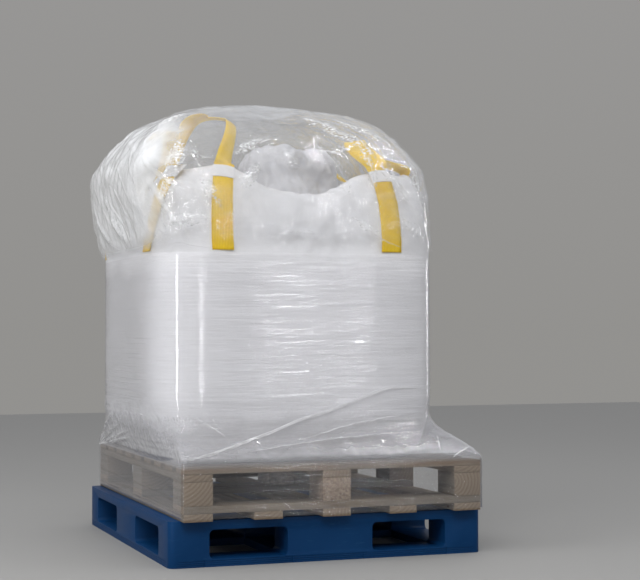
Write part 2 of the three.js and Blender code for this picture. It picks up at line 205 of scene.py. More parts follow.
def add_block(name, low, high):
    """A cube stretched to the box from low to high, with its place in its mesh."""
    deselect_all()
    low, high = Vector(low), Vector(high)
    bpy.ops.mesh.primitive_cube_add(size=1, location=(low + high) / 2, scale=high - low)
    block = bpy.context.object
    block.name = name
    bpy.ops.object.transform_apply(location=True, rotation=True, scale=True)
    return block


def edit_edges_along(obj, axis):
    """Goes into edit mode with the edges selected that run along one axis (0, 1 or 2)."""
    bpy.context.view_layer.objects.active = obj
    bpy.ops.object.mode_set(mode="EDIT")
    bpy.ops.mesh.select_mode(type="EDGE")
    bpy.ops.mesh.select_all(action="DESELECT")
    mesh = bmesh.from_edit_mesh(obj.data)
    for edge in mesh.edges:
        direction = (edge.verts[1].co - edge.verts[0].co).normalized()
        if abs(direction[axis]) > 0.999:
            edge.select_set(True)
    bmesh.update_edit_mesh(obj.data)


def edit_all(obj):
    """Goes into edit mode with the whole piece selected."""
    pick(obj)
    bpy.ops.object.mode_set(mode="EDIT")
    bpy.ops.mesh.select_all(action="SELECT")


def leave_edit():
    bpy.ops.object.mode_set(mode="OBJECT")


def face_outwards(obj):
    """Turns every face of a closed piece outwards."""
    edit_all(obj)
    bpy.ops.mesh.normals_make_consistent(inside=False)
    leave_edit()


def apply_modifier(obj, kind, **settings):
    """Adds a modifier to a piece, sets it and applies it."""
    pick(obj)
    modifier = obj.modifiers.new(kind.lower(), kind)
    for key, value in settings.items():
        setattr(modifier, key, value)
    bpy.ops.object.modifier_apply(modifier=modifier.name)


def cut_away(obj, cutter):
    """Subtracts the cutter from the piece and removes the cutter."""
    apply_modifier(obj, "BOOLEAN", operation="DIFFERENCE", solver="EXACT", object=cutter)
    bpy.data.objects.remove(cutter, do_unlink=True)


def round_edges(obj, width, angle=40):
    """Bevels every edge that is sharper than the angle, in degrees."""
    limit = {"limit_method": "ANGLE", "angle_limit": math.radians(angle)}
    apply_modifier(obj, "BEVEL", width=width, segments=2, harden_normals=False, **limit)


def smooth_shading(obj, angle=40):
    """Shades a piece smooth, apart from edges that are sharper than the angle, in degrees."""
    pick(obj)
    bpy.ops.object.shade_smooth_by_angle(angle=math.radians(angle))


def dress(obj, nodes, slot, *materials):
    """Gives a piece its materials and its body, and hides the CAD nodes that it stands for.

    The slot is not used.
    """
    if not obj.data.materials:
        for material in materials:
            obj.data.materials.append(material)
    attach(obj, "root")
    if nodes:
        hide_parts(*nodes)
    return obj


# %% [markdown]
# ## Materials
#
# Every finish is a node tree on one Principled shader. `Nodes` below is a short way to write such
# a tree: it adds a node, sets its values and links its inputs in one call.


# %% A short way to write node trees
class Nodes:
    """One material's node tree, with its Principled shader ready to be linked."""

    def __init__(self, name, roughness, colour=(0.8, 0.8, 0.8), specular=0.5):
        self.material = bpy.data.materials.new(name)
        self.material.use_nodes = True
        self.tree = self.material.node_tree
        self.shader = self.tree.nodes["Principled BSDF"]
        self.shader.inputs["Roughness"].default_value = roughness
        self.shader.inputs["Base Color"].default_value = (*colour, 1)
        self.shader.inputs["Specular IOR Level"].default_value = specular

    def add(self, kind, links=None, **values):
        """Adds a node; links maps an input's name or number to a socket or a constant."""
        node = self.tree.nodes.new("ShaderNode" + kind)
        for key, value in values.items():
            setattr(node, key, value)
        for key, source in (links or {}).items():
            if isinstance(source, bpy.types.NodeSocket):
                self.tree.links.new(source, node.inputs[key])
            else:
                node.inputs[key].default_value = source
        return node

    def mapped(self, vector, scale=(1, 1, 1), turn=(0, 0, 0), shift=(0, 0, 0)):
        """A place after it is stretched, turned and shifted."""
        links = {"Vector": vector, "Scale": scale, "Rotation": turn, "Location": shift}
        return self.add("Mapping", links).outputs["Vector"]

    def object_place(self, scale=(1, 1, 1)):
        """Object coordinates, stretched along each axis."""
        return self.mapped(self.add("TexCoord").outputs["Object"], scale)

    def noise(self, vector, scale, detail, distortion=0.0, roughness=0.5):
        settings = {"Vector": vector, "Scale": scale, "Detail": detail}
        settings.update({"Distortion": distortion, "Roughness": roughness})
        return self.add("TexNoise", settings).outputs["Fac"]

    def ramp(self, factor, *stops):
        """A colour ramp; each stop is a place and a colour or a grey."""
        node = self.add("ValToRGB", {"Fac": factor})
        points = node.color_ramp.elements
        while len(points) < len(stops):
            points.new(1)
        for point, (place, colour) in zip(points, stops):
            point.position = place
            point.color = (*colour, 1) if isinstance(colour, tuple) else (*[colour] * 3, 1)
        return node.outputs["Color"]

    def mix(self, factor, one, other):
        """Mixes two colours by a factor; a constant colour is a tuple."""
        one, other = ((*c, 1) if isinstance(c, tuple) else c for c in (one, other))
        return self.add("Mix", {0: factor, 6: one, 7: other}, data_type="RGBA").outputs[2]

    def math(self, operation, one, other=0.0, clamp=False):
        node = self.add("Math", {0: one, 1: other}, operation=operation, use_clamp=clamp)
        return node.outputs[0]

    def bump(self, height, distance, strength, below=None):
        """Tilts the surface by a height; below is the bump that this one lies on."""
        links = {"Height": height, "Distance": distance, "Strength": strength}
        if below is not None:
            links["Normal"] = below
        return self.add("Bump", links).outputs["Normal"]

    def finish(self, colour=None, roughness=None, normal=None, alpha=None, metallic=None):
        """Links what varies over the surface to the shader and returns the material."""
        varied = {
            "Base Color": colour, "Roughness": roughness, "Normal": normal, "Alpha": alpha,
            "Metallic": metallic,
        }
        for key, socket in varied.items():
            if socket is not None:
                self.tree.links.new(socket, self.shader.inputs[key])
        return self.material


# %% [markdown]
# ## The blue pallet
#
# A moulded pallet is one thick block of plastic. Two round-cornered tunnels for forks run through
# it from front to rear and two from side to side, and where they cross, the underside is open. It
# could be lofted face by face, but cutting rounded bars out of a block is shorter and follows its
# mould. Its foot has three fine grooves all round, and short upright lines on the front show where
# it was welded on.

# %% Blue plastic
def blue_plastic():
    """Deep blue with cloudy tone, fine grain and pale scuffs that run level."""
    nodes = Nodes("blue plastic", 0.42, specular=0.08)
    place = nodes.object_place()
    cloudy = nodes.noise(place, 3.5, 4)
    tone = nodes.ramp(cloudy, (0.3, (0.003, 0.036, 0.120)), (0.75, (0.006, 0.050, 0.155)))
    scuffs = nodes.noise(nodes.object_place((1, 1, 6)), 22, 6, 0.6)
    patchy = nodes.ramp(scuffs, (0.60, 0.0), (0.74, 1.0))
    colour = nodes.mix(nodes.math("MULTIPLY", patchy, 0.10), tone, (0.06, 0.19, 0.34))
    rough = nodes.ramp(cloudy, (0.2, 0.34), (0.8, 0.52))
    grain = nodes.noise(place, 420, 2)
    normal = nodes.bump(grain, 0.4 * mm, 0.5)
    return nodes.finish(colour, rough, normal)


blue = blue_plastic()

# %% Body and tunnels of the blue pallet
pallet_low, pallet_high = (Vector(corner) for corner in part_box("plastic_pallet"))
pallet_corner = 26 * mm
tunnel_low, tunnel_high = 25 * mm, 120 * mm
tunnel_round = 17 * mm
front_tunnel_width, front_tunnel_centre = 267 * mm, 282.5 * mm
side_tunnel_width, side_tunnel_centre = 340 * mm, 320 * mm

pallet = add_block("blue_pallet", pallet_low, pallet_high)
edit_edges_along(pallet, 2)
bpy.ops.mesh.bevel(offset=pallet_corner, segments=8)
leave_edit()


def rounded_bar(low, high, axis):
    """A bar along an axis with round edges, used to cut a tunnel."""
    bar = add_block("bar", low, high)
    edit_edges_along(bar, axis)
    bpy.ops.mesh.bevel(offset=tunnel_round, segments=6)
    leave_edit()
    return bar


past = 20 * mm
sliver = 0.1 * mm
window_inset = 4 * mm
window_top = tunnel_low + 10 * mm
for side in (-1, 1):
    x = side * front_tunnel_centre
    half = front_tunnel_width / 2
    low = (x - half, pallet_low.y - past, tunnel_low)
    high = (x + half, pallet_high.y + past, tunnel_high)
    cut_away(pallet, rounded_bar(low, high, 1))
for side in (-1, 1):
    y = side * side_tunnel_centre
    half = side_tunnel_width / 2
    low = (pallet_low.x - past, y - half, tunnel_low + sliver)
    high = (pallet_high.x + past, y + half, tunnel_high - sliver)
    cut_away(pallet, rounded_bar(low, high, 0))
for side_x in (-1, 1):
    for side_y in (-1, 1):
        x, y = side_x * front_tunnel_centre, side_y * side_tunnel_centre
        half_x = front_tunnel_width / 2 - window_inset
        half_y = side_tunnel_width / 2 - window_inset
        low, high = (x - half_x, y - half_y, -past), (x + half_x, y + half_y, window_top)
        cut_away(pallet, add_block("window", low, high))
print("blue pallet faces:", len(pallet.data.polygons))

# %% Grooves, weld lines and soft edges of the blue pallet
groove_heights = [5 * mm, 11.5 * mm, 18 * mm]
groove_width, groove_depth = 2.2 * mm, 1.6 * mm
for height in groove_heights:
    for end, sign in ((pallet_low, -1), (pallet_high, 1)):
        for axis in (0, 1):
            inner = end[axis] - sign * groove_depth
            outer = end[axis] + sign * past
            low, high = Vector(pallet_low), Vector(pallet_high)
            low[axis], high[axis] = min(inner, outer), max(inner, outer)
            low[1 - axis] += pallet_corner
            high[1 - axis] -= pallet_corner
            low.z, high.z = height, height + groove_width
            cut_away(pallet, add_block("groove", low, high))

weld_line_places = [-432 * mm, -135 * mm, 115 * mm, 418 * mm]
weld_line_width, weld_line_depth = 2.4 * mm, 2.5 * mm
weld_line_top = tunnel_low - 2 * mm
for x in weld_line_places:
    low = (x, pallet_low.y - past, -past)
    high = (x + weld_line_width, pallet_low.y + weld_line_depth, weld_line_top)
    cut_away(pallet, add_block("weld line", low, high))
round_edges(pallet, 1.3 * mm)
smooth_shading(pallet)
dress(pallet, ["plastic_pallet"], "pallet_plastic", blue)
print("blue pallet faces:", len(pallet.data.polygons))

# %% [markdown]
# ## The wooden pallet
#
# Sawn boards are not perfect boxes: their faces wander by a millimetre, their edges are worn, and
# some keep a stretch of the tree's round outside. Each board starts as a cube of the frame's size,
# is cut into short lengths with bisect, and then every point is moved a little by a slow noise.
#
# The grain has to run along each board and show rings on its ends. So each board carries an
# attribute, `grain`, with each point's place along, across and through the board. The wood
# material reads rings and fibres from it, as if the board were sawn from a log.

# %% Wood finishes
knot_brown = (0.13, 0.075, 0.045)


def timber(name, pale, dark, grey, ring_scale, fibre_strength):
    """Sawn softwood: rings and fibres along the board, grey weathered patches and small knots."""
    nodes = Nodes(name, 0.82, specular=0.1)
    grain = nodes.add("Attribute", attribute_name="grain").outputs["Vector"]
    log = nodes.mapped(grain, (0.35, 1, 1))
    rings = nodes.add("TexWave", {
        "Vector": log, "Scale": ring_scale, "Distortion": 2.4, "Detail": 2.5, "Detail Scale": 1.2,
    }, wave_type="RINGS", rings_direction="X").outputs["Fac"]
    fibres = nodes.noise(nodes.mapped(grain, (2.2, 60, 60)), 3.0, 6, 0.4, 0.65)
    patches = nodes.noise(nodes.mapped(grain, (1.5, 5, 5)), 2.2, 3)
    ringed = nodes.ramp(rings, (0.15, dark), (0.55, pale))
    fibred = nodes.mix(nodes.ramp(fibres, (0.42, 0.0), (0.62, 0.55)), ringed, dark)
    weathered = nodes.mix(nodes.ramp(patches, (0.40, 0.0), (0.66, 0.75)), fibred, grey)
    cells = nodes.add("TexVoronoi", {"Vector": nodes.mapped(grain, (1.0, 2.4, 2.4)), "Scale": 5.2})
    knots = nodes.ramp(cells.outputs["Distance"], (0.028, 1.0), (0.075, 0.0))
    knotted = nodes.mix(knots, weathered, knot_brown)
    rough = nodes.ramp(fibres, (0.3, 0.72), (0.7, 0.92))
    normal = nodes.bump(fibres, 1.2 * mm, fibre_strength)
    return nodes.finish(knotted, rough, normal)


def end_grain(name, pale, dark):
    """The sawn end of a board: rings across, pores and a little dirt."""
    nodes = Nodes(name, 0.9, specular=0.1)
    grain = nodes.add("Attribute", attribute_name="grain").outputs["Vector"]
    rings = nodes.add("TexWave", {
        "Vector": grain, "Scale": 26, "Distortion": 1.6, "Detail": 2.0, "Detail Scale": 0.8,
    }, wave_type="RINGS", rings_direction="X").outputs["Fac"]
    pores = nodes.noise(grain, 900, 2)
    ringed = nodes.ramp(rings, (0.0, dark), (0.8, pale))
    colour = nodes.mix(nodes.ramp(pores, (0.5, 0.0), (0.7, 0.35)), ringed, dark)
    return nodes.finish(colour, None, nodes.bump(pores, 0.5 * mm, 0.6))


def chipboard():
    """Pressed chips: small flat flakes of many browns in a grey glue."""
    nodes = Nodes("chipboard", 0.9)
    place = nodes.object_place((1, 1, 1.6))
    bend = nodes.add("TexNoise", {"Vector": place, "Scale": 60}).outputs["Color"]
    warped = nodes.add("VectorMath", {0: place, 1: bend}, operation="ADD").outputs[0]
    chips = nodes.add("TexVoronoi", {"Vector": place, "Scale": 210.0})
    browns = ((0.1, (0.10, 0.065, 0.04)), (0.5, (0.24, 0.17, 0.115)), (0.9, (0.42, 0.33, 0.25)))
    tone = nodes.ramp(chips.outputs["Color"], *browns)
    dust = nodes.noise(warped, 9, 4)
    colour = nodes.mix(nodes.ramp(dust, (0.4, 0.0), (0.7, 0.4)), tone, (0.30, 0.26, 0.22))
    normal = nodes.bump(chips.outputs["Distance"], 1.0 * mm, 0.8)
    return nodes.finish(colour, None, normal)


pale_browns = (0.31, 0.25, 0.19), (0.21, 0.15, 0.10), (0.24, 0.21, 0.18)
grey_browns = (0.23, 0.195, 0.155), (0.15, 0.115, 0.08), (0.19, 0.175, 0.155)
pale_timber = timber("pale timber", *pale_browns, 15, 0.6)
grey_timber = timber("grey timber", *grey_browns, 12, 0.8)
pale_end = end_grain("pale end grain", (0.27, 0.215, 0.16), (0.215, 0.165, 0.12))
chips = chipboard()
print("materials:", len(bpy.data.materials))

# %% Cutting a board into short lengths
board_step = 45 * mm


def bisect_along(obj, axis, low, high, step):
    """Cuts a piece across one axis into lengths of about a step, in edit mode."""
    edit_all(obj)
    normal = [0, 0, 0]
    normal[axis] = 1
    count = max(2, round((high - low) / step))
    for k in range(1, count):
        place = [0, 0, 0]
        place[axis] = low + (high - low) * k / count
        bpy.ops.mesh.select_all(action="SELECT")
        bpy.ops.mesh.bisect(plane_co=place, plane_no=normal)
    leave_edit()


def add_grain(obj, axis, middle, shift):
    """Stores each point's place along, across and through the board, seen from the log's heart."""
    across, through = [k for k in (0, 1, 2) if k != axis]
    attribute = obj.data.attributes.new("grain", "FLOAT_VECTOR", "POINT")
    for point, value in zip(obj.data.vertices, attribute.data):
        local = point.co - middle
        value.vector = Vector((local[axis], local[across], local[through])) + shift


# %% A sawn board
# Without a seed, noise_vector starts from the clock, and the boards differ from run to run.
noise.seed_set(7)
board_wander = 1.0 * mm
most_hollow = 0.3 * mm


def board(node, seed, finishes, wane=0.0):
    """One board or block of the wooden pallet, shaped from the frame's box for its node.

    The wane is how deep the tree's round side cuts into its upper front edge.
    """
    low, high = (Vector(corner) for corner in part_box(node))
    size = high - low
    axis = max(range(3), key=lambda k: size[k])
    piece = add_block(node.replace("_", " ").title().replace(" ", "_"), low, high)
    bisect_along(piece, axis, low[axis], high[axis], board_step)
    round_edges(piece, 1.6 * mm)
    middle = (low + high) / 2
    for point in piece.data.vertices:
        wander = noise.noise_vector(point.co * 9 + Vector((seed, 0, 0))) * board_wander
        wander[axis] = 0
        inward = middle - point.co
        for k in range(3):
            if k != axis and wander[k] * inward[k] < 0:
                wander[k] *= -1
        on_top = point.co.z > middle.z
        if wane and on_top and point.co.y < middle.y:
            depth = max(0.0, noise.noise(Vector((point.co.x * 7, seed, 0))) - 0.1)
            wander.z -= wane * depth
        if on_top and not wane:
            wander.z = max(wander.z, -most_hollow)
        point.co += wander
    heart_across = 0.055 + 0.02 * math.sin(seed)
    heart_through = -0.06 + 0.05 * math.cos(seed * 2.1)
    add_grain(piece, axis, middle, Vector((seed * 0.37, heart_across, heart_through)))
    smooth_shading(piece)
    for finish in finishes:
        piece.data.materials.append(finish)
    if len(finishes) > 1:
        for face in piece.data.polygons:
            face.material_index = 1 if abs(face.normal[axis]) > 0.8 else 0
    return piece


# %% All boards and blocks
wooden = ("board", "stringer", "block")
timber_nodes = sorted(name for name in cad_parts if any(word in name for word in wooden))
for seed, node in enumerate(timber_nodes):
    is_chips = node.startswith("block") and node.endswith("centre")
    greyish = node.startswith(("lower", "block")) or seed % 3 == 0
    if is_chips:
        finishes = [chips]
    else:
        finishes = [grey_timber if greyish else pale_timber, pale_end]
    wane = 9 * mm if node == "deck_board_1" else 0.0
    piece = board(node, seed + 1.0, finishes, wane)
    dress(piece, [node], "chipboard" if is_chips else "timber")
print("boards and blocks:", len(timber_nodes))

# %% [markdown]
# ## Soft shapes from rows of points
#
# Cloth and film have no flat faces to extrude from. They are lofted instead: a table gives the
# outline at a few heights, and the rows between are filled in and smoothed. A fold is a line in
# space that lifts or presses what lies near it, and a slow noise does the rest.

# %% Helpers for lofted skins
def rounded_square(angle, roundness):
    """A rounded square as a pair of shares from -1 to 1, in the given direction."""
    cos, sin = math.cos(angle), math.sin(angle)
    length = (abs(cos) ** roundness + abs(sin) ** roundness) ** (1 / roundness)
    return cos / length, sin / length


def even_places(profile, step):
    """Places along a profile of points, at about equal steps, as numbers between its rows."""
    steps = np.linalg.norm(np.diff(profile, axis=0), axis=1)
    length = np.concatenate([[0], np.cumsum(steps)])
    wanted = np.linspace(0, length[-1], max(2, round(length[-1] / step)))
    return np.interp(wanted, length, np.arange(len(profile)))


def soften(rows, times):
    """Smooths a grid of points from row to row, and leaves its first and last rows alone."""
    for _ in range(times):
        rows[1:-1] = (rows[:-2] + 2 * rows[1:-1] + rows[2:]) / 4
    return rows


def grid_normals(rows):
    """Outward directions of a grid that closes around its columns."""
    around = np.roll(rows, -1, axis=1) - np.roll(rows, 1, axis=1)
    upward = np.gradient(rows, axis=0)
    normals = np.cross(around, upward)
    length = np.linalg.norm(normals, axis=2, keepdims=True)
    return normals / np.maximum(length, 1e-9)


def noise_field(points, scale, kind, seed):
    """From about -1 to 1 at each point; ridged noise has sharp crests, like crumpled film."""
    flat = (points.reshape(-1, 3) * np.array(scale, float) + seed).tolist()
    values = np.array([noise.noise(Vector(place)) for place in flat])
    if kind == "ridged":
        values = 1 - 2 * np.abs(values)
    return values.reshape(points.shape[:-1])


def fold_lines(points, lines):
    """How far each point is lifted by folds: (start, end, height, width) in millimetres."""
    lift = np.zeros(points.shape[:-1])
    for start, end, height, width in lines:
        start, end = np.array(start) * mm, np.array(end) * mm
        span = end - start
        share = np.clip(((points - start) @ span) / (span @ span), 0, 1)
        away = np.linalg.norm(points - (start + share[..., None] * span), axis=-1)
        taper = np.sin(np.pi * np.clip(share * 0.9 + 0.05, 0, 1)) ** 0.5
        lift += height * mm * taper * np.exp(-away / (width * mm))
    return lift


# %% Skins from a grid of points
def add_mesh(name, points, faces):
    """A new piece with smooth shading, from its points and faces."""
    mesh = bpy.data.meshes.new(name)
    mesh.from_pydata(points, [], faces)
    mesh.update()
    mesh.polygons.foreach_set("use_smooth", [True] * len(faces))
    piece = bpy.data.objects.new(name, mesh)
    bpy.context.scene.collection.objects.link(piece)
    return piece


def unroll(mesh, rows):
    """A UV map in metres: U runs around the rows and V runs up them."""
    height, columns = rows.shape[:2]
    level = rows[height // 2]
    ring = np.vstack([level, level[:1]])
    across = np.concatenate([[0], np.cumsum(np.linalg.norm(np.diff(ring, axis=0), axis=1))])
    climb = np.linalg.norm(np.diff(rows, axis=0), axis=2).mean(axis=1)
    upward = np.concatenate([[0], np.cumsum(climb)])
    layer = mesh.uv_layers.new(name="cloth")
    for face in mesh.polygons:
        column = [index % columns for index in face.vertices]
        wraps = max(column) - min(column) > columns // 2
        for loop, index in zip(face.loop_indices, face.vertices):
            if index >= height * columns:
                place = (across[column[0]], upward[-1])
            else:
                j = index % columns
                place = (across[columns if wraps and j == 0 else j], upward[index // columns])
            layer.data[loop].uv = place


def skin_mesh(name, rows, close_low=False, close_high=False):
    """A piece from rings of points, with a UV map in metres; a closed end narrows to one point."""
    height, columns = rows.shape[:2]
    points = rows.reshape(-1, 3).tolist()
    neighbours = [(j, (j + 1) % columns) for j in range(columns)]
    faces = []
    for low in range(0, (height - 1) * columns, columns):
        high = low + columns
        faces += [(low + j, low + k, high + k, high + j) for j, k in neighbours]
    if close_low:
        faces += [(k, j, len(points)) for j, k in neighbours]
        points.append(rows[0].mean(axis=0).tolist())
    if close_high:
        faces += [(high + j, high + k, len(points)) for j, k in neighbours]
        points.append(rows[-1].mean(axis=0).tolist())
    piece = add_mesh(name, points, faces)
    unroll(piece.data, rows)
    return piece


# %% [markdown]
# ## The woven bag
#
# A bulk bag is sewn from flat woven tape fabric and filled until it bulges. Its walls are taut
# where the load presses, and loose above it, where the fabric stands up to the four corners that
# the loops hold and sags between them. The shell is lofted from one profile, a table of sizes,
# heights and shares of the corner lift, which raises the rim at the corners only.
#
# The fabric is white plastic tape, woven flat, so it has a slight satin look along the tapes.

# %% Woven fabric
wrap_top_z = 1018 * mm
tape_width = 2.6 * mm


def woven_fabric(name, tint):
    """Flat woven tape with soft crinkles, and fine level lines where the wrap presses on it."""
    nodes = Nodes(name, 0.6, specular=0.1)
    uv = nodes.add("UVMap", uv_map="cloth").outputs["UV"]
    split = nodes.add("SeparateXYZ", {0: nodes.mapped(uv, (1 / tape_width, 1 / tape_width, 1))})
    warp = nodes.math("SINE", nodes.math("MULTIPLY", split.outputs["X"], math.pi))
    weft = nodes.math("SINE", nodes.math("MULTIPLY", split.outputs["Y"], math.pi))
    weave = nodes.math("MULTIPLY", warp, weft)
    slow = nodes.noise(nodes.object_place(), 5, 4)
    shaded, soiled = (tuple(c * share for c in tint) for share in (0.93, 0.85))
    tone = nodes.ramp(slow, (0.3, shaded), (0.7, tint))
    streaks = nodes.noise(nodes.mapped(uv, (4, 60, 1)), 6, 3)
    colour = nodes.mix(nodes.ramp(streaks, (0.5, 0.0), (0.8, 0.25)), tone, soiled)
    rough = nodes.ramp(slow, (0.3, 0.5), (0.8, 0.68))
    crinkle = nodes.noise(nodes.object_place((1, 1, 1.4)), 38, 5, 0.5)
    normal = nodes.bump(crinkle, 3.0 * mm, 0.45)
    normal = nodes.bump(weave, 0.6 * mm, 0.35, normal)
    height = nodes.add("SeparateXYZ", {0: nodes.object_place()}).outputs["Z"]
    bare_from, wrapped_from = wrap_top_z + 4 * mm, wrap_top_z - 6 * mm
    wrapped = nodes.add("MapRange", {"Value": height, 1: bare_from, 2: wrapped_from}).outputs[0]
    lines = nodes.noise(nodes.object_place((5, 5, 84)), 1.0, 3, 0.2)
    normal = nodes.bump(nodes.math("MULTIPLY", lines, wrapped), 4.5 * mm, 0.6, normal)
    return nodes.finish(colour, rough, normal)


bag_fabric = woven_fabric("bag fabric", (0.86, 0.86, 0.89))
# The gathered top is the bag's own white fabric; its darker tint is painted shade.
skirt_fabric_painted_shade = woven_fabric("skirt fabric", (0.62, 0.62, 0.65))
print("tapes to a metre:", round(1 / tape_width))

# %% The bag's profile and skin
bag_half = np.array([510, 520]) * mm
bag_centre = np.array([-58, -55]) * mm
bag_roundness = 6
deck_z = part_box("deck_board_5")[1][2]
shoulder_z, rim_z, top_z = 1016 * mm, 1226 * mm, 1205 * mm
corner_lift = 90 * mm
rear_left_lean = 70 * mm
full_z = deck_z + 215 * mm
bag_profile = [
    (0.12, deck_z, 0), (0.45, deck_z, 0), (0.88, deck_z, 0), (0.93, deck_z + 26 * mm, 0),
    (0.965, deck_z + 76 * mm, 0), (0.99, deck_z + 138 * mm, 0), (1, full_z, 0),
    (1, (full_z + shoulder_z) / 2, 0), (1, shoulder_z, 0), (1, shoulder_z + 46 * mm, 0.05),
    (0.99, shoulder_z + 94 * mm, 0.2), (0.97, shoulder_z + 140 * mm, 0.48),
    (0.935, rim_z - 32 * mm, 0.78), (0.89, rim_z, 1), (0.85, rim_z + 3 * mm, 1),
    (0.8, rim_z - 8 * mm, 0.75), (0.72, top_z, 0), (0.3, top_z, 0), (0.08, top_z, 0),
]
shoulder_row, rim_row = 8, 13


def lift_at(share_x, share_y):
    """The rim is low in the middle of each panel and high over the legs and the corner."""
    share = min(abs(share_x), abs(share_y))
    t = min(max((share - 0.08) / 0.55, 0), 1)
    return corner_lift * t * t * (3 - 2 * t)


def bag_point(share_x, share_y, row, outward=0.0):
    """A point of the bag's skin: its plan shares, and a profile row between two rows."""
    low = bag_profile[int(row)]
    high = bag_profile[min(int(row) + 1, len(bag_profile) - 1)]
    between = row - int(row)
    size, height, lift = (a + between * (b - a) for a, b in zip(low, high))
    lean = rear_left_lean * lift * max(0, -share_x) * max(0, share_y)
    return Vector((
        bag_centre[0] - lean + share_x * (size * bag_half[0] + outward),
        bag_centre[1] + share_y * (size * bag_half[1] + outward),
        height + lift * lift_at(share_x, share_y),
    ))


bag_columns = 320
bag_row_step = 13 * mm
outline = np.array([[size * bag_half[0], height] for size, height, _ in bag_profile])
places = even_places(outline, bag_row_step)
angles = [2 * math.pi * j / bag_columns for j in range(bag_columns)]
shares = [rounded_square(angle, bag_roundness) for angle in angles]
bag_rows = np.array([[bag_point(x, y, row) for x, y in shares] for row in places])
bag_rows = soften(bag_rows, 3)
print("bag rows and columns:", bag_rows.shape[:2])

# %% Folds of the bag
bag_out = grid_normals(bag_rows)
bag_z = bag_rows[..., 2]
loose = np.clip((bag_z - shoulder_z + 60 * mm) / (120 * mm), 0, 1)
gap_under_wrap, gap_under_hood = 0.4 * mm, 9 * mm
under_film = np.clip((bag_z - deck_z) / (60 * mm), 0, 1) * (1 - loose)
big = noise_field(bag_rows, (6, 6, 3.2), "soft", 3.1) * 16 * mm
crisp = (noise_field(bag_rows, (11, 11, 7), "ridged", 8.4) - 0.5) * 7 * mm
fine = (noise_field(bag_rows, (26, 26, 17), "ridged", 1.7) - 0.5) * 2.6 * mm
squeezed = (noise_field(bag_rows, (3, 3, 26), "ridged", 5.5) - 0.75) * 2.2 * mm
dent = loose * (big + crisp + fine) + under_film * squeezed

panel_folds = [
    ((-300, -578, 1046), (330, -578, 1052), -9, 12),
    ((-420, -578, 1075), (60, -578, 1068), -6, 10),
    ((-150, -560, 1130), (40, -575, 1085), -7, 16),
    ((120, -560, 1150), (230, -575, 1070), -8, 16),
    ((380, -560, 1210), (440, -500, 1080), 12, 18),
    ((300, -520, 1240), (350, -570, 1120), -8, 14),
    ((-420, -530, 1250), (-380, -572, 1080), 7, 16),
    ((-200, -500, 1190), (-120, -560, 1120), 9, 20),
    ((40, -500, 1160), (150, -545, 1190), 9, 20),
]
dent = dent + fold_lines(bag_rows, panel_folds)
still = np.clip((bag_z - deck_z - 2 * mm) / (20 * mm), 0, 1)
room = np.where(bag_z < shoulder_z, gap_under_wrap, gap_under_hood)
dent = np.minimum(dent, room) * still
bag_rows = bag_rows + bag_out * dent[..., None]
bag = skin_mesh("Woven_bag", bag_rows, close_low=True, close_high=True)
dress(bag, ["bulk_bag"], "woven_fabric", bag_fabric)
print("bag faces:", len(bag.data.polygons))

# %% [markdown]
# ## The gathered top
#
# The bag's filling skirt is bunched together and folded down on itself. Its folds run down from
# the gathered middle, so the radius of each row is varied around the axis by several waves whose
# places drift from row to row, and crumpled by ridged noise.

# %% Gathered skirt of fabric
skirt_centre = np.array([44, -40]) * mm
skirt_top = 1438 * mm
skirt_profile = [
    (60, top_z + 0.5 * mm, 0), (200, top_z + 0.5 * mm, 0), (212, top_z + 20 * mm, 0.5),
    (192, top_z + 70 * mm, 1), (170, top_z + 120 * mm, 1), (174, top_z + 165 * mm, 1),
    (150, skirt_top - 26 * mm, 1), (85, skirt_top, 0.7), (14, skirt_top - 12 * mm, 0.2),
]
skirt_columns, skirt_row_step = 220, 7 * mm
skirt_outline = np.array([[radius * mm, height] for radius, height, _ in skirt_profile])
skirt_rows = []
for place in even_places(skirt_outline, skirt_row_step):
    index = int(min(place, len(skirt_profile) - 2))
    low, high = skirt_profile[index], skirt_profile[index + 1]
    radius, height, folds = (a + (place - index) * (b - a) for a, b in zip(low, high))
    row = []
    for j in range(skirt_columns):
        angle = 2 * math.pi * j / skirt_columns
        wave = 0.09 * math.cos(3 * angle + 0.6) + 0.05 * math.cos(7 * angle + 9 * height)
        pleats = 0.035 * abs(math.sin(9 * angle + 5 * math.sin(14 * height))) - 0.02
        reach = radius * mm * (1 + folds * (wave + pleats))
        x = skirt_centre[0] + reach * math.cos(angle)
        y = skirt_centre[1] + reach * math.sin(angle)
        row.append((x, y, height))
    skirt_rows.append(row)
skirt_rows = soften(np.array(skirt_rows), 3)
skirt_out = grid_normals(skirt_rows)
off_seat = np.clip((skirt_rows[..., 2] - top_z) / (25 * mm), 0, 1)
crumple = (noise_field(skirt_rows, (13, 13, 8), "ridged", 2.2) - 0.6) * 22 * mm
crumple += (noise_field(skirt_rows, (34, 34, 22), "ridged", 6.2) - 0.5) * 6 * mm
skirt_rows = skirt_rows + skirt_out * (crumple * off_seat)[..., None]
skirt = skin_mesh("Gathered_top", skirt_rows, close_low=True, close_high=True)
dress(skirt, ["top_skirt"], "woven_fabric", skirt_fabric_painted_shade)
print("gathered top faces:", len(skirt.data.polygons))

# %% [markdown]
# ## Lifting loops
#
# Each loop is one length of yellow webbing. Both its ends are sewn flat to two neighbouring panels
# of the bag, and the arch between them stands free. The webbing follows the same rule as the
# frame's solid, with many more steps: its legs keep to the bag's profile, and its arch is a curve
# through a few places. It has softened edges, ribs along its length, and a slight wave and cup
# where it stands free.

# %% Yellow webbing
rib_pitch, pick_pitch = 5.2 * mm, 3.4 * mm


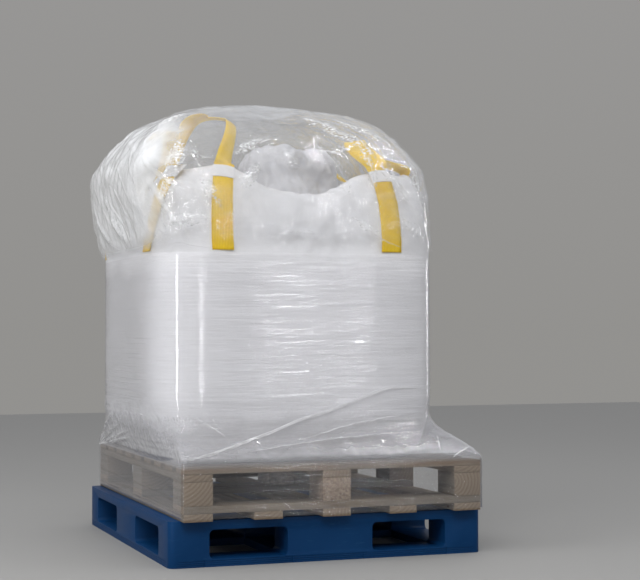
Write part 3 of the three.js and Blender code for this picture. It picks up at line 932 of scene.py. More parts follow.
def yellow_webbing():
    """Strong yellow with ribs along the webbing and finer picks across them; the grooves between
    the ribs are darkened as painted shade.
    """
    nodes = Nodes("yellow webbing", 0.62, specular=0.15)
    uv = nodes.add("UVMap", uv_map="cloth").outputs["UV"]
    split = nodes.add("SeparateXYZ", {0: uv})
    ribs = nodes.math("SINE", nodes.math("MULTIPLY", split.outputs["X"], 2 * math.pi / rib_pitch))
    picks = nodes.math("SINE", nodes.math("MULTIPLY", split.outputs["Y"], 2 * math.pi / pick_pitch))
    weave = nodes.math("ADD", ribs, nodes.math("MULTIPLY", picks, 0.5))
    slow = nodes.noise(nodes.object_place(), 14, 4)
    tone = nodes.ramp(slow, (0.3, (0.90, 0.58, 0.012)), (0.7, (0.96, 0.68, 0.020)))
    # The grooves between the ribs are darkened: painted shade.
    groove_shade = nodes.ramp(ribs, (0.0, 0.25), (0.5, 0.0))
    colour = nodes.mix(groove_shade, tone, (0.66, 0.38, 0.008))
    normal = nodes.bump(weave, 0.6 * mm, 0.6)
    return nodes.finish(colour, None, normal)


yellow = yellow_webbing()

# %% Paths of the loops
webbing_width, webbing_thickness = 73 * mm, 3 * mm
webbing_gap, rim_gap = 0.8 * mm, 3.2 * mm
leg_bottom_z = 1029 * mm
arch_start, arch_upright = 0.86, 22 * mm
loops = [
    {"name": "front_left", "x": -1, "y": -1, "foot": (293, 320), "rim": (0.6, 0.84),
     "turns": (0, 36, 60, 58, 46, 84, 90),
     "arch": ((-278, -398, 1472), (-336, -316, 1498), (-430, -374, 1446))},
    {"name": "front_right", "x": 1, "y": -1, "foot": (303, 303), "rim": (0.6, 0.62),
     "turns": (0, 44, 52, 68, 90),
     "arch": ((196, -392, 1402), (206, -326, 1436), (286, -296, 1382))},
    {"name": "rear_left", "x": -1, "y": 1, "foot": (300, 300), "rim": (0.5, 0.6),
     "turns": (0, 40, 45, 50, 90),
     "arch": ((-318, 240, 1466), (-370, 146, 1506), (-458, 150, 1462))},
    {"name": "rear_right", "x": 1, "y": 1, "foot": (300, 300), "rim": (0.6, 0.6),
     "turns": (0, 40, 45, 50, 90),
     "arch": ((170, 290, 1400), (206, 200, 1430), (290, 196, 1396))},
]


def row_at_height(share_x, share_y, height):
    """The profile row at a height on a leg, found by halving between the shoulder and the rim."""
    low, high = shoulder_row - 1, rim_row
    for _ in range(30):
        between = (low + high) / 2
        if bag_point(share_x, share_y, between).z < height:
            low = between
        else:
            high = between
    return low


def leg_point(loop, panel, along, across, off_webbing):
    """A point on a leg: panel 0 faces front or rear, 1 left or right; along is 1 at the rim."""
    half = bag_half[panel]
    foot_share = loop["foot"][panel] * mm / half
    near = foot_share + along * (loop["rim"][panel] - foot_share) + across / half
    far = (1 - near ** bag_roundness) ** (1 / bag_roundness)
    share_x = loop["x"] * (near if panel == 0 else far)
    share_y = loop["y"] * (far if panel == 0 else near)
    foot = row_at_height(share_x, share_y, leg_bottom_z)
    gap = webbing_gap + along * (rim_gap - webbing_gap)
    return bag_point(share_x, share_y, foot + along * (rim_row - foot), gap + off_webbing)


def arch_points(loop, outward):
    """The nine points that the arch's centre line goes through."""
    ends = [leg_point(loop, panel, 1, 0, outward) for panel in (0, 1)]
    below = [leg_point(loop, panel, arch_start, 0, outward) for panel in (0, 1)]
    rise = [(end - low).normalized().lerp(Vector((0, 0, 1)), 0.2) for end, low in zip(ends, below)]
    uprights = [end + up * arch_upright for end, up in zip(ends, rise)]
    free = [Vector(place) * mm for place in loop["arch"]]
    return [below[0], ends[0], uprights[0], *free, uprights[1], ends[1], below[1]]


def arch_turn(loop, share):
    """The webbing's turn about the upright, from 0 on panel 0 to a right angle on panel 1."""
    turns = loop["turns"]
    return math.radians(np.interp(share * (len(turns) - 1), range(len(turns)), turns))


def curve_through(points, t):
    """A point on a smooth curve that goes through all the points, at t from 0 to 1."""
    place = t * (len(points) - 1)
    index = min(int(place), len(points) - 2)
    share = place - index
    p1, p2 = points[index], points[index + 1]
    p0 = points[index - 1] if index > 0 else p1 * 2 - p2
    p3 = points[index + 2] if index + 2 < len(points) else p2 * 2 - p1
    spans = ((p0, p1), (p1, p2), (p2, p3))
    d0, d1, d2 = (max((b - a).length_squared ** 0.25, 1e-4) for a, b in spans)
    tangent1 = ((p1 - p0) / d0 - (p2 - p0) / (d0 + d1) + (p2 - p1) / d1) * d1
    tangent2 = ((p2 - p1) / d1 - (p3 - p1) / (d1 + d2) + (p3 - p2) / d2) * d1
    a = 2 * p1 - 2 * p2 + tangent1 + tangent2
    b = -3 * p1 + 3 * p2 - 2 * tangent1 - tangent2
    return a * share ** 3 + b * share ** 2 + tangent1 * share + p1


# %% Webbing of the loops
leg_steps, arch_steps = 36, 90
nudge = 1e-3
band_section = [(-1, 0.5), (-0.985, 0.95), (-0.5, 1.0), (0, 1.0), (0.5, 1.0), (0.985, 0.95),
                (1, 0.5), (0.985, 0.05), (0.5, 0.0), (0, 0.0), (-0.5, 0.0), (-0.985, 0.05)]


def arch_point(loop, points, share, side, layer):
    """A point of the free arch: its share of the way, -1 to 1 across, 0 to 1 through."""
    first, last = 1 / 8, 7 / 8
    t = first + share * (last - first)
    tangent = (curve_through(points, t + nudge) - curve_through(points, t - nudge)).normalized()
    turn = arch_turn(loop, share)
    wide = Vector((loop["x"] * math.cos(turn), loop["y"] * math.sin(turn), 0))
    wide = (wide - tangent * wide.dot(tangent)).normalized()
    out = (wide.cross(tangent) * loop["x"] * loop["y"]).normalized()
    free = math.sin(math.pi * share)
    wave = free * 4 * mm * noise.noise(Vector((t * 9, side * 0.8, loop["turns"][2])))
    cup = free * 5 * mm * (side * side - 0.4)
    point = curve_through(points, t) + wide * (side * webbing_width / 2)
    return point - out * ((layer - 0.5) * webbing_thickness - wave - cup)


def loop_webbing(loop):
    """The closed band of one loop, section by section from one foot to the other."""
    steps = 2 * leg_steps + arch_steps
    points = arch_points(loop, webbing_thickness / 2)
    rows = []
    for step in range(steps + 1):
        row = []
        for side, layer in band_section:
            across = side * webbing_width / 2
            outward = layer * webbing_thickness
            if step <= leg_steps:
                point = leg_point(loop, 0, step / leg_steps, across, outward)
            elif step >= steps - leg_steps:
                point = leg_point(loop, 1, (steps - step) / leg_steps, across, outward)
            else:
                point = arch_point(loop, points, (step - leg_steps) / arch_steps, side, layer)
            row.append(point)
        rows.append(row)
    return np.array(rows)


for loop in loops:
    rows = loop_webbing(loop)
    piece = skin_mesh("Loop_" + loop["name"], rows, close_low=True, close_high=True)
    face_outwards(piece)
    dress(piece, ["lift_loop_" + loop["name"]], "webbing", yellow)
print("loop rows and columns:", rows.shape[:2])

# %% [markdown]
# ## Fabric sleeves on the legs
#
# A band of the bag's own fabric is sewn over each leg just below the rim. It is a small patch that
# follows the leg on the outside, with its free edges turned under.

# %% Sleeves
sleeve_width, sleeve_thickness, sleeve_share = 82 * mm, 2 * mm, 0.16
sleeve_steps, sleeve_columns = 14, 16


def sleeve(loop, panel):
    """A closed patch over one leg, from the rim down, with soft side edges."""
    base = webbing_thickness + webbing_gap
    rows = []
    for step in range(sleeve_steps + 1):
        along = 1 - sleeve_share * step / sleeve_steps
        front, back = [], []
        for column in range(sleeve_columns + 1):
            side = 2 * column / sleeve_columns - 1
            across = side * sleeve_width / 2
            pillow = 1 - abs(side) ** 6 * 0.45
            seed = Vector((side * 3, along * 40, loop["turns"][2] + panel))
            ripple = max(0.5 * mm * noise.noise(seed), -0.3 * mm)
            outward = base + sleeve_thickness * pillow + ripple
            front.append(leg_point(loop, panel, along, across, outward))
            back.append(leg_point(loop, panel, along, across, base))
        rows.append(front + back[::-1])
    return np.array(rows)


for loop in loops:
    for panel in (0, 1):
        node = f"loop_sleeve_{loop['name']}_{panel + 1}"
        piece = skin_mesh(f"Sleeve_{loop['name']}_{panel + 1}", sleeve(loop, panel), True, True)
        face_outwards(piece)
        smooth_shading(piece, 50)
        dress(piece, [node], "woven_fabric", bag_fabric)
print("sleeves:", 2 * len(loops))

# %% [markdown]
# ## Clear film
#
# Thin film is nearly all see-through. A glass shader would darken what lies behind it, because
# light has to find its way through, so the film is a skin that is opaque only by as much as it
# mirrors. A clear sheet mirrors four hundredths of the light that meets it squarely and nearly all
# of what grazes it, and in between the share rises with the fifth power. Its haze, milky where the
# film is creased or lies in several turns, is added to that, and the share of the two sets how
# metallic the shader is: the mirroring share acts as a mirror and the haze as plain white. Where
# the wrap's haze is thick, that white turns grey, which is painted shade.
#
# The creases are bumps. Two sets of waves with sharp crests run in different directions, bent by
# slow noise and each kept to its own patches, as in film that has been pulled at. Fine crinkles
# lie between them, and where the film is most crumpled there are clusters of short white dashes,
# partly the whitening of pinched film and partly painted glints.
# How milky, crumpled and shiny the film is at each place comes from an attribute, `film`, that
# each film's own step works out.

# %% Film finish
square_on_mirror = 0.04
slanted_haze, fleck_and_glint_haze = 3.0, 12.0
crest_sets = [((0.3, 0.5, 0.4), 2.5, 0.0), ((0.9, -0.7, 1.5), 3.4, 3.1)]
fleck_and_glint_sets = [((0.5, 0.4, 0.7), (60, 230, 150)), ((-0.6, 0.5, -0.9), (70, 260, 170))]
film_bounces = 24
bpy.context.scene.cycles.transparent_max_bounces = film_bounces


def crest_waves(nodes, place, turn, scale, seed):
    """Sharp crests in one direction, bent by slow noise and kept to patches; 0 between them."""
    waves = nodes.add("TexWave", {
        "Vector": nodes.mapped(place, turn=turn, shift=(seed, 0, 0)), "Scale": scale,
        "Distortion": 5.0, "Detail": 1.5, "Detail Scale": 0.35, "Detail Roughness": 0.4,
    }, wave_type="BANDS", bands_direction="X").outputs["Fac"]
    crests = nodes.ramp(waves, (0.90, 0.0), (1.0, 1.0))
    patches = nodes.noise(nodes.mapped(place, shift=(0, seed, 0)), 4.5, 2)
    return nodes.math("MULTIPLY", crests, nodes.ramp(patches, (0.42, 0.0), (0.60, 1.0)))


def flecks_and_painted_glints(nodes, place):
    """Short hard white dashes where small folds pinch the film, in two directions and in clusters;
    they are partly painted glints.
    """
    dashes = []
    for turn, scale in fleck_and_glint_sets:
        grain = nodes.noise(nodes.mapped(place, scale, turn), 1.2, 2, 0.3)
        dashes.append(nodes.ramp(grain, (0.60, 0.0), (0.64, 1.0)))
    flecks_and_glints = nodes.math("MAXIMUM", *dashes)
    clusters = nodes.ramp(nodes.noise(place, 9.0, 2), (0.42, 0.0), (0.54, 1.0))
    return nodes.math("MULTIPLY", flecks_and_glints, clusters)


def film(name, tint, thick_painted_shade_tint, crease_height, ridge_height, haze_spread):
    """Clear film; the spread is how unevenly milky it is, and wound film has level ridges. A thick
    tint, where given, turns the thickest haze grey, which is painted shade.
    """
    nodes = Nodes(name, 0.1, tint)
    place = nodes.object_place()
    state = nodes.add("Attribute", attribute_name="film").outputs["Vector"]
    state = nodes.add("SeparateXYZ", {0: state})
    haze, crumple, shine = (state.outputs[axis] for axis in "XYZ")
    soft = nodes.noise(place, 7, 3, 0.6)
    normal = nodes.bump(nodes.math("MULTIPLY", soft, crumple), crease_height * 2, 0.8)
    crests = nodes.math("MAXIMUM", *(crest_waves(nodes, place, *one) for one in crest_sets))
    crests = nodes.math("MULTIPLY", crests, crumple)
    normal = nodes.bump(crests, crease_height, 0.9, normal)
    crinkle = nodes.math("MULTIPLY", nodes.noise(place, 45, 2, 0.4), crumple)
    normal = nodes.bump(crinkle, crease_height * 1.8, 0.9, normal)
    fleck_and_glint_mask = nodes.ramp(crumple, (0.5, 0.0), (0.8, 1.0))
    flecks_and_glints = nodes.math("MULTIPLY", flecks_and_painted_glints(nodes, place), fleck_and_glint_mask)
    streaks = nodes.math("ADD", nodes.math("MULTIPLY", crests, 0.9), soft)
    # The white dashes raise the haze: partly pinched film, partly painted glints.
    streaks = nodes.math("ADD", streaks, nodes.math("MULTIPLY", flecks_and_glints, fleck_and_glint_haze))
    if ridge_height:
        ridges = nodes.noise(nodes.mapped(place, (0.5, 0.5, 84)), 1.0, 3, 0.2, 0.55)
        normal = nodes.bump(ridges, ridge_height, 1.0, normal)
        turns = nodes.noise(nodes.mapped(place, (0.7, 0.7, 34)), 1.0, 3)
        streaks = nodes.math("ADD", streaks, nodes.math("MULTIPLY", turns, 0.7))
    facing = nodes.add("LayerWeight", {"Blend": 0.5}).outputs["Facing"]
    grazing = nodes.math("MULTIPLY", nodes.math("POWER", facing, 5.0), 1 - square_on_mirror)
    mirror = nodes.math("MULTIPLY", nodes.math("ADD", grazing, square_on_mirror), shine)
    uneven = {"Value": streaks, 1: 0.35, 2: 1.15, 3: 1 - haze_spread, 4: 1 + haze_spread}
    spread = nodes.add("MapRange", uneven, clamp=False).outputs[0]
    slanted = nodes.math("MULTIPLY", nodes.math("POWER", facing, 2.0), slanted_haze)
    milky = nodes.math("MULTIPLY", haze, nodes.math("ADD", spread, slanted))
    alpha = nodes.math("ADD", mirror, milky, clamp=True)
    metallic = nodes.math("DIVIDE", mirror, nodes.math("ADD", mirror, milky))
    rough = nodes.ramp(soft, (0.3, 0.035), (0.8, 0.08))
    # Where the haze is thick the film is grey: painted shade on milky film.
    colour = nodes.ramp(haze, (0.05, tint), (0.2, thick_painted_shade_tint)) if thick_painted_shade_tint else None
    return nodes.finish(colour, rough, normal, alpha, metallic)


hood_film = film("hood film", (0.95, 0.96, 0.98), None, 6 * mm, 0, 0.7)
wrap_film = film("wrap film", (0.92, 0.92, 0.96), (0.60, 0.60, 0.63), 4 * mm, 3 * mm, 0.4)
fold_film_and_painted_glints = film("fold film and painted glints", (0.96, 0.96, 0.98), None, 2 * mm, 0, 0.5)
print("film finishes:", [finish.name for finish in (hood_film, wrap_film, fold_film_and_painted_glints)])


# %% Helpers for film
film_thickness = 0.5 * mm


def thicken(piece):
    """Gives a skin the film's thickness, inwards."""
    apply_modifier(piece, "SOLIDIFY", thickness=film_thickness, offset=-1.0)


def set_film(piece, haze, crumple, shine):
    """Stores how hazy, how crumpled and how shiny the film is at each point."""
    attribute = piece.data.attributes.new("film", "FLOAT_VECTOR", "POINT")
    layers = np.stack(np.broadcast_arrays(haze, crumple, shine), axis=-1).reshape(-1, 3)
    values = np.tile(layers[-1], (len(piece.data.vertices), 1))
    values[:len(layers)] = layers
    attribute.data.foreach_set("vector", values.ravel())


# %% [markdown]
# ## The hood
#
# The hood is a big loose bag of film pulled over the load, so it stands off like a tent. Cloth
# simulation could drop it over the bag, but its folds would fall anywhere. So it is lofted from
# rows that follow its outline: each has a height in millimetres, a size, a roundness and a shift.

# %% Hood skin
hood_shape = [
    (760, 1, 6, 0, 0), (1018, 1, 6, 0, 0), (1026, 1.018, 6, 0, 0), (1073, 1.028, 6, -5, 3),
    (1140, 1.04, 6, -15, 6), (1220, 1.05, 5.8, -30, 11), (1320, 1.038, 5.4, -41, 15),
    (1416, 0.935, 4.6, -46, 16), (1485, 0.8, 4.4, -46, 15), (1530, 0.62, 3.8, -38, 13),
    (1550, 0.42, 3, -26, 10), (1560, 0.03, 2.6, -18, 7),
]
hood_gap = 2 * mm
hood_columns, hood_row_step = 300, 9 * mm


def hood_point(row, angle):
    """A point of the hood: row counts the rows of hood_shape and may lie between two."""
    low = hood_shape[int(row)]
    high = hood_shape[min(int(row) + 1, len(hood_shape) - 1)]
    between = row - int(row)
    z, size, roundness, shift_x, shift_y = (a + between * (b - a) for a, b in zip(low, high))
    share_x, share_y = rounded_square(angle, roundness)
    x = bag_centre[0] + shift_x * mm + share_x * (size * bag_half[0] + hood_gap)
    y = bag_centre[1] + shift_y * mm + share_y * (size * bag_half[1] + hood_gap)
    return (x, y, z * mm)


hood_outline = np.array([[size * bag_half[0], z * mm] for z, size, *_ in hood_shape])
hood_places = even_places(hood_outline, hood_row_step)
hood_angles = [2 * math.pi * j / hood_columns for j in range(hood_columns)]
hood_rows = np.array([[hood_point(row, angle) for angle in hood_angles] for row in hood_places])
hood_rows = soften(hood_rows, 10)
print("hood rows and columns:", hood_rows.shape[:2])

# %% [markdown]
# ## Creases and pinched folds
#
# Folds that the eye picks out are drawn as paths in space. Along each path the skin is lifted to a
# soft ridge. Where the film is pinched together it is several layers thick and looks white, and a
# ridge alone doesn't show that. So thin white crests, one to three millimetres wide, are laid on
# the film along the same paths; their white is partly that of pinched film and partly painted
# glints. A skin that would dip into the bag is first moved just outside it.

# %% Ridge along a path
def crease(points, path, height, width):
    """How far each point is lifted by one crease along a path; height and width in millimetres."""
    path = np.array(path) * mm
    spans = np.diff(path, axis=0)
    lengths = np.linalg.norm(spans, axis=1)
    whole = lengths.sum()
    nearest = np.full(points.shape[:-1], np.inf)
    along = np.zeros(points.shape[:-1])
    before = 0.0
    for start, span, length in zip(path, spans, lengths):
        share = np.clip(((points - start) @ span) / length ** 2, 0, 1)
        away = np.linalg.norm(points - (start + share[..., None] * span), axis=-1)
        closer = away < nearest
        nearest = np.where(closer, away, nearest)
        along = np.where(closer, (before + share * length) / whole, along)
        before += length
    taper = np.sin(np.pi * np.clip(along * 0.94 + 0.03, 0, 1)) ** 0.6
    return height * mm * taper * np.exp(-nearest / (width * mm))


# %% Laying a skin on another piece
def lay_on(rows, below, gap, reach):
    """Moves the points of a skin that lie inside another piece, or close to it, just outside it.

    It returns the points and how clear of the piece each one is, from 0 to 1 at the reach.
    """
    tree = BVHTree.FromObject(below, bpy.context.evaluated_depsgraph_get())
    flat = rows.reshape(-1, 3)
    clear = np.ones(len(flat))
    for i, least in enumerate(np.broadcast_to(gap, rows.shape[:-1]).ravel()):
        place = Vector(flat[i])
        nearest, out, _, _ = tree.find_nearest(place, reach)
        if nearest is not None:
            height = (place - nearest).dot(out)
            clear[i] = max(height, least) / reach
            if height < least:
                flat[i] = nearest + out * least
    return flat.reshape(rows.shape), clear.reshape(rows.shape[:-1])


# %% Pinched folds
crest_step, crest_spacing, crest_corners = 6 * mm, 2.2, 6
crest_turns = [2 * math.pi * k / crest_corners for k in range(crest_corners)]


def smooth_path(path, step):
    """Places about a step apart on a smooth curve through the path's points."""
    path = [Vector(place) * mm for place in path]
    length = sum((b - a).length for a, b in zip(path, path[1:]))
    count = max(4, round(length / step))
    return [curve_through(path, i / count) for i in range(count + 1)]


def crest_rings(skin, places, radius, aside, number, strand):
    """The rings of one crest on the skin: flat, wandering a little, and pointed at both ends."""
    rings = []
    last = len(places) - 1
    for i, place in enumerate(places):
        share = i / last
        along = (places[min(i + 1, last)] - places[max(i - 1, 0)]).normalized()
        on_skin, out, _, _ = skin.find_nearest(place)
        side = out.cross(along).normalized()
        seed = Vector((share * 9, number * 3.7, strand * 5.3))
        shift = aside * crest_spacing * radius + noise.noise(seed) * 3 * radius
        # The crest's width comes and goes, so its white line breaks into dashes: painted glints.
        patchy = 0.35 + 0.65 * abs(noise.noise(seed * 2.3)) * 2
        reach = radius * patchy * math.sin(math.pi * min(max(share, 0.02), 0.98)) ** 0.5
        middle = on_skin + side * shift + out * radius * 0.3
        rings.append([
            middle + (side * math.cos(turn) * 1.4 + out * math.sin(turn) * 0.3) * reach
            for turn in crest_turns
        ])
    return rings


def add_tube(points, faces, rings):
    """Adds a closed tube through the rings to the lists of points and faces."""
    first = len(points)
    last = first + crest_corners * (len(rings) - 1)
    points += [tuple(point) for ring in rings for point in ring]
    for low in range(first, last, crest_corners):
        for k in range(crest_corners):
            a, b = low + k, low + (k + 1) % crest_corners
            faces.append((a, b, b + crest_corners, a + crest_corners))
    faces.append(tuple(first + k for k in reversed(range(crest_corners))))
    faces.append(tuple(last + k for k in range(crest_corners)))


def pinched_folds(name, film_piece, paths, radius, state, slot):
    """Thin hard white crests where the film is pinched together, lying on the film along the paths;
    their white is partly painted glints.

    Each path is a list of places and the number of crests that run beside each other along it.
    """
    skin = BVHTree.FromObject(film_piece, bpy.context.evaluated_depsgraph_get())
    points, faces = [], []
    for number, (path, strands) in enumerate(paths):
        places = smooth_path(path, crest_step)
        for strand in range(strands):
            aside = strand - (strands - 1) / 2
            add_tube(points, faces, crest_rings(skin, places, radius, aside, number, strand))
    piece = add_mesh(name, points, faces)
    face_outwards(piece)
    set_film(piece, *state)
    return dress(piece, [], slot, fold_film_and_painted_glints)


# %% Paths of the hood's creases
hood_creases = [
    [(-625, 225, 1232), (-609, 190, 1155), (-592, 60, 1082), (-583, -85, 1042)],
    [(-629, 10, 1269), (-620, -20, 1195), (-599, -92, 1112), (-583, -180, 1041)],
    [(-615, -98, 1175), (-599, -138, 1109), (-583, -210, 1039)],
    [(-533, -296, 1458), (-487, -365, 1478), (-428, -380, 1496)],
    [(-471, -505, 1401), (-514, -539, 1333), (-546, -535, 1283)],
    [(-468, -533, 1365), (-520, -549, 1305), (-556, -532, 1256)],
    [(-508, -557, 1295), (-539, -547, 1223), (-550, -530, 1150)],
    [(-457, -541, 1358), (-413, -568, 1333), (-386, -569, 1334)],
    [(-443, -565, 1329), (-420, -580, 1282), (-398, -588, 1217), (-351, -590, 1145)],
    [(-545, -529, 1119), (-481, -570, 1124), (-392, -588, 1138)],
    [(-546, -492, 1032), (-499, -548, 1053), (-445, -571, 1040), (-383, -582, 1034)],
    [(-316, -564, 1350), (-253, -551, 1374), (-170, -531, 1410)],
    [(-142, -553, 1371), (-117, -565, 1351), (-99, -585, 1299)],
    [(-290, -592, 1226), (-268, -588, 1267), (-230, -570, 1320)],
    [(-224, -589, 1075), (-91, -590, 1091), (16, -590, 1080)],
    [(-21, -534, 1405), (32, -568, 1346), (71, -587, 1274)],
    [(18, -486, 1457), (124, -517, 1423), (198, -562, 1345)],
    [(88, -445, 1490), (197, -480, 1445), (275, -511, 1388)],
    [(1, -552, 1374), (66, -554, 1369), (115, -539, 1393)],
    [(198, -562, 1345), (258, -577, 1270), (319, -573, 1200)],
    [(317, -517, 1354), (345, -547, 1265), (360, -555, 1172)],
    [(-38, -437, 1496), (43, -469, 1474), (100, -511, 1430)],
    [(23, -572, 1338), (46, -586, 1283), (94, -593, 1217)],
    [(142, -545, 1380), (171, -582, 1301), (180, -590, 1230)],
    [(253, -587, 1156), (334, -572, 1101), (378, -547, 1041)],
    [(87, -593, 1152), (197, -588, 1077), (280, -580, 1045)],
]
print("creases drawn:", len(hood_creases))

# %% [markdown]
# ## The hood's relief and its finish
#
# Between the drawn creases the film billows slowly, crumples and crinkles, which is noise at three
# sizes. Just above the wrap it is gathered into upright pleats, and below the wrap's top edge it
# is pressed flat against the bag. The film is milkiest on its left, where its folds lie closest.

# %% Relief of the hood
hood_out = grid_normals(hood_rows)
hood_z = hood_rows[..., 2]
pleat_sets = [(23, 0.4, 2.0), (37, 1.3, -3.1), (61, 2.2, 4.3)]
pleat_height = 3.5 * mm
free = np.clip((hood_z - wrap_top_z - 6 * mm) / (70 * mm), 0, 1)
column_angle = np.array(hood_angles)[None, :]
pleat = np.zeros(hood_rows.shape[:2])
for count, start, drift in pleat_sets:
    wave = np.abs(np.sin(count * 0.5 * column_angle + start + drift * (hood_z - wrap_top_z)))
    pleat += (1 - wave) ** 2 * pleat_height
gathered = np.clip(1 - (hood_z - wrap_top_z) / (230 * mm), 0, 1) * free
billow = noise_field(hood_rows, (3.1, 3.1, 2.6), "soft", 4.4) * 10 * mm
crumpled = (noise_field(hood_rows, (5.5, 5.5, 5.0), "ridged", 9.3) - 0.45) * 9 * mm
crinkled = (noise_field(hood_rows, (16, 16, 14), "ridged", 2.9) - 0.5) * 4 * mm
drawn = np.zeros(hood_rows.shape[:2])
near_crease = np.zeros(hood_rows.shape[:2])
for number, path in enumerate(hood_creases):
    drawn = np.maximum(drawn, crease(hood_rows, path, 6 + 2 * (number % 3), 10))
    near_crease = np.maximum(near_crease, crease(hood_rows, path, 1, 22) / mm)
dent = free * (billow + crumpled + crinkled + drawn) + gathered * pleat
hood_rows = hood_rows + hood_out * dent[..., None]
least_gap, more_when_free, bag_reach = 1.2 * mm, 4.5 * mm, 60 * mm
hood_rows, clear_of_bag = lay_on(hood_rows, bag, least_gap + more_when_free * free, bag_reach)
hood = skin_mesh("Clear_hood", hood_rows, close_high=True)
print("hood film:", round(sum(face.area for face in hood.data.polygons), 2), "square metres")

# %% How milky and crumpled the hood is
crest_share = np.clip(drawn / (8 * mm), 0, 1)
left_folds = np.clip((-430 * mm - hood_rows[..., 0]) / (150 * mm), 0, 1)
right_folds = np.clip((hood_rows[..., 0] - 180 * mm) / (260 * mm), 0, 1)
doubled = np.clip((hood_z - 1130 * mm) / (8 * mm), 0, 1)
doubled *= np.clip((1240 * mm - hood_z) / (30 * mm), 0, 1)
doubled *= np.clip((-150 * mm - hood_rows[..., 0]) / (60 * mm), 0, 1)
hood_haze = 0.07 + 0.42 * left_folds + 0.04 * right_folds + 0.04 * crest_share + 0.05 * doubled
hood_crumple = 0.3 + near_crease * (0.25 + 0.45 * clear_of_bag)
set_film(hood, free * hood_haze, free * hood_crumple, free)
print("haziest place of the hood:", round(float((free * hood_haze).max()), 2))

# %% Folds and film of the hood
# White crests along the hood's creases: partly pinched film, partly painted glints.
hood_paths = [(path, 1 + number % 2) for number, path in enumerate(hood_creases)]
hood_folds = pinched_folds("Hood_folds", hood, hood_paths, 0.7 * mm, (0.6, 0.2, 0.1), "hood_film")
thicken(hood)
dress(hood, ["cover_hood"], "hood_film", hood_film)
print("hood faces:", len(hood.data.polygons))

# %% [markdown]
# ## The stretch wrap
#
# Stretch film is wound around the load in overlapping turns, so it is covered in fine level
# ridges. It hugs the bag, spreads out over the deck of the wooden pallet like a tent and goes
# straight down the pallet's sides. Its rows follow the frame's own rule for that shape.
#
# On the bag the film is nearly clear. It is milkiest at the foot of the tent, where the film runs
# together into ropes, and those are drawn as paths with a height, a width and a number of crests.
# Where it is milkiest, at the foot of the tent and down the pallet's left side, it is grey, which
# is painted shade.
# Its shine fades in below the top edge, which would otherwise show as a hard white line.

# %% Wrap skin
wrap_inside = 3.6 * mm
wrap_bottom_z, tent_top_z = 158 * mm, 480 * mm
wood_low = Vector(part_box("bottom_board_1")[0])
wood_high = Vector(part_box("bottom_board_5")[1])
wood_centre = (wood_low + wood_high) / 2
wood_half = (wood_high - wood_low) / 2
wrap_columns = 360
bag_side = np.array(bag_profile[2:shoulder_row + 1])


def smooth_step(value, low, high):
    """From 0 at low to 1 at high, and level at both ends."""
    t = min(max((value - low) / (high - low), 0), 1)
    return t * t * (3 - 2 * t)


def wrap_point(z, angle, outward):
    """A point of the wrap: round with the bag above, sharp-cornered round the pallet below."""
    round_x, round_y = rounded_square(angle, bag_roundness)
    longest = max(abs(math.cos(angle)), abs(math.sin(angle)))
    sharp_x, sharp_y = math.cos(angle) / longest, math.sin(angle) / longest
    bag_share = float(np.interp(z, bag_side[:, 1], bag_side[:, 0]))
    hug_x = bag_centre[0] + round_x * (bag_share * bag_half[0] + outward)
    hug_y = bag_centre[1] + round_y * (bag_share * bag_half[1] + outward)
    beside_x = wood_centre.x + sharp_x * (wood_half.x + outward)
    beside_y = wood_centre.y + sharp_y * (wood_half.y + outward)
    if z <= deck_z:
        return (beside_x, beside_y, z)
    if z >= tent_top_z:
        return (hug_x, hug_y, z)
    hug = smooth_step(z, deck_z, tent_top_z)
    tent_x, tent_y = beside_x + hug * (hug_x - beside_x), beside_y + hug * (hug_y - beside_y)
    out_x = min(tent_x, hug_x) if round_x < 0 else max(tent_x, hug_x)
    out_y = min(tent_y, hug_y) if round_y < 0 else max(tent_y, hug_y)
    return (out_x, out_y, z)


wood_rows, tent_rows, bag_wall_rows = 24, 44, 68
wrap_heights = np.concatenate([
    np.linspace(wrap_bottom_z, deck_z, wood_rows), np.linspace(deck_z, tent_top_z, tent_rows)[1:],
    np.linspace(tent_top_z, wrap_top_z, bag_wall_rows)[1:],
])
wrap_angles = [2 * math.pi * j / wrap_columns for j in range(wrap_columns)]
wrap_outward = wrap_inside + film_thickness
wrap_rows = np.array([
    [wrap_point(z, angle, wrap_outward) for angle in wrap_angles] for z in wrap_heights
])
print("wrap rows and columns:", wrap_rows.shape[:2])

# %% Paths of the wrap's ropes
ropes = [
    ([(-495, -658, 346), (-419, -648, 362), (-237, -606, 413), (-89, -581, 464), (29, -578, 498),
      (108, -580, 527), (237, -577, 566), (435, -465, 563)], 5, 5, 4),
    ([(-445, -559, 477), (-393, -578, 444), (-355, -602, 416)], 5, 5, 2),
    ([(-413, -566, 493), (-361, -586, 438)], 4, 5, 1),
    ([(-102, -618, 400), (87, -586, 444), (276, -571, 473)], 4, 8, 1),
    ([(-284, -646, 368), (3, -620, 398), (339, -596, 415)], 5, 8, 1),
    ([(398, -605, 400), (387, -654, 356)], 5, 7, 2),
    ([(430, -660, 330), (505, -642, 362)], 5, 7, 2),
]
fan_foot = (-518, 633, 314)
fan_ends = [
    (-568, 153, 465), (-562, 78, 425), (-559, -75, 412), (-553, -79, 388), (-560, 300, 500),
]
ropes += [([fan_foot, fan_end], 8, 9, 2) for fan_end in fan_ends]
print("ropes drawn:", len(ropes))

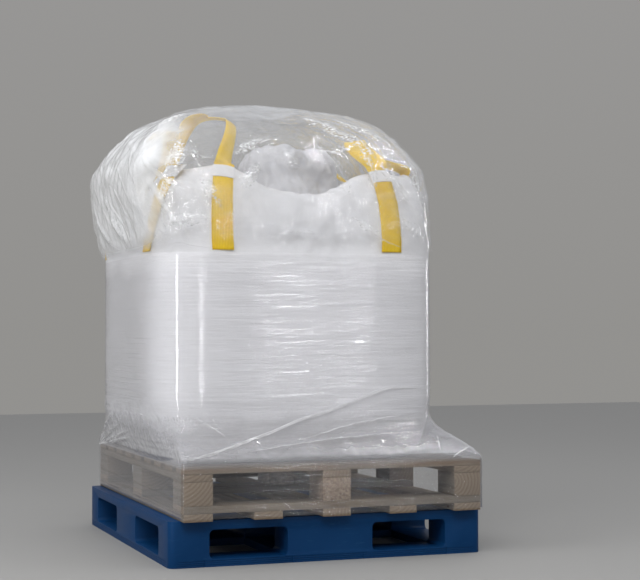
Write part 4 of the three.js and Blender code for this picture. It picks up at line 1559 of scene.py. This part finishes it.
# %% Relief of the wrap
wrap_out = grid_normals(wrap_rows)
wrap_z = wrap_rows[..., 2]
on_bag = np.clip((wrap_z - tent_top_z) / (60 * mm), 0, 1)
on_tent = np.clip((wrap_z - deck_z) / (30 * mm), 0, 1) * (1 - on_bag)
on_wood = np.clip((deck_z - wrap_z) / (10 * mm), 0, 1)
turns = (noise_field(wrap_rows, (0.4, 0.4, 55), "ridged", 7.7) - 0.2) * 1.1 * mm
tent_crease = (noise_field(wrap_rows, (6, 6, 14), "ridged", 3.3) - 0.2) * 2.0 * mm
tent_fine = (noise_field(wrap_rows, (26, 26, 50), "ridged", 1.1) - 0.2) * 2.0 * mm
wood_level = (noise_field(wrap_rows, (2.5, 2.5, 45), "ridged", 6.1) + 0.3) * 0.9 * mm
roped = np.zeros(wrap_rows.shape[:2])
for path, height, width, _ in ropes:
    roped = np.maximum(roped, crease(wrap_rows, path, height, width))
dent = on_bag * turns + on_tent * (tent_crease + tent_fine) + on_wood * wood_level + roped
dent = np.maximum(dent, 0.05 * mm)
wrap_rows = wrap_rows + wrap_out * dent[..., None]
wrap = skin_mesh("Stretch_wrap", wrap_rows)
print("wrap film:", round(sum(face.area for face in wrap.data.polygons), 2), "square metres")

# %% How milky, crumpled and shiny the wrap is
tent_height = np.clip((wrap_z - deck_z) / (tent_top_z - deck_z), 0, 1)
edge_drift = noise_field(wrap_rows, (5, 5, 0), "soft", 2.7) * 30 * mm
below_edge = np.clip((wrap_top_z - wrap_z + edge_drift) / (70 * mm), 0, 1)
left_part = np.clip((-280 * mm - wrap_rows[..., 0]) / (120 * mm), 0, 1)
left_side = np.clip((-535 * mm - wrap_rows[..., 0]) / (20 * mm), 0, 1)
# Where this haze is high, on the tent and the pallet's left side, the wrap is grey: painted shade.
wrap_haze = 0.005 + 0.025 * below_edge + 0.36 * on_tent * (1 - 0.85 * tent_height)
wrap_haze += on_wood * (0.30 * left_side - 0.015)
rope_share = np.clip(roped / (4 * mm), 0, 1)
left_corner = np.clip((-390 * mm - wrap_rows[..., 0]) / (40 * mm), 0, 1)
wrap_crumple = 0.05 * on_bag * left_corner + 0.08 * on_wood
wrap_crumple += on_tent * (0.2 + 0.35 * left_part + 0.3 * rope_share)
wrap_shine = 0.2 + 0.8 * below_edge - 0.3 * on_wood - 0.4 * on_tent
set_film(wrap, wrap_haze, wrap_crumple, wrap_shine)
print("haziest place of the wrap:", round(float(wrap_haze.max()), 2))

# %% Ropes and film of the wrap
rope_paths = [(path, strands) for path, _, _, strands in ropes]
wrap_ropes = pinched_folds("Wrap_ropes", wrap, rope_paths, 1.1 * mm, (0.85, 0.2, 0.1), "wrap_film")
thicken(wrap)
dress(wrap, ["stretch_wrap"], "wrap_film", wrap_film)
print("wrap faces:", len(wrap.data.polygons))
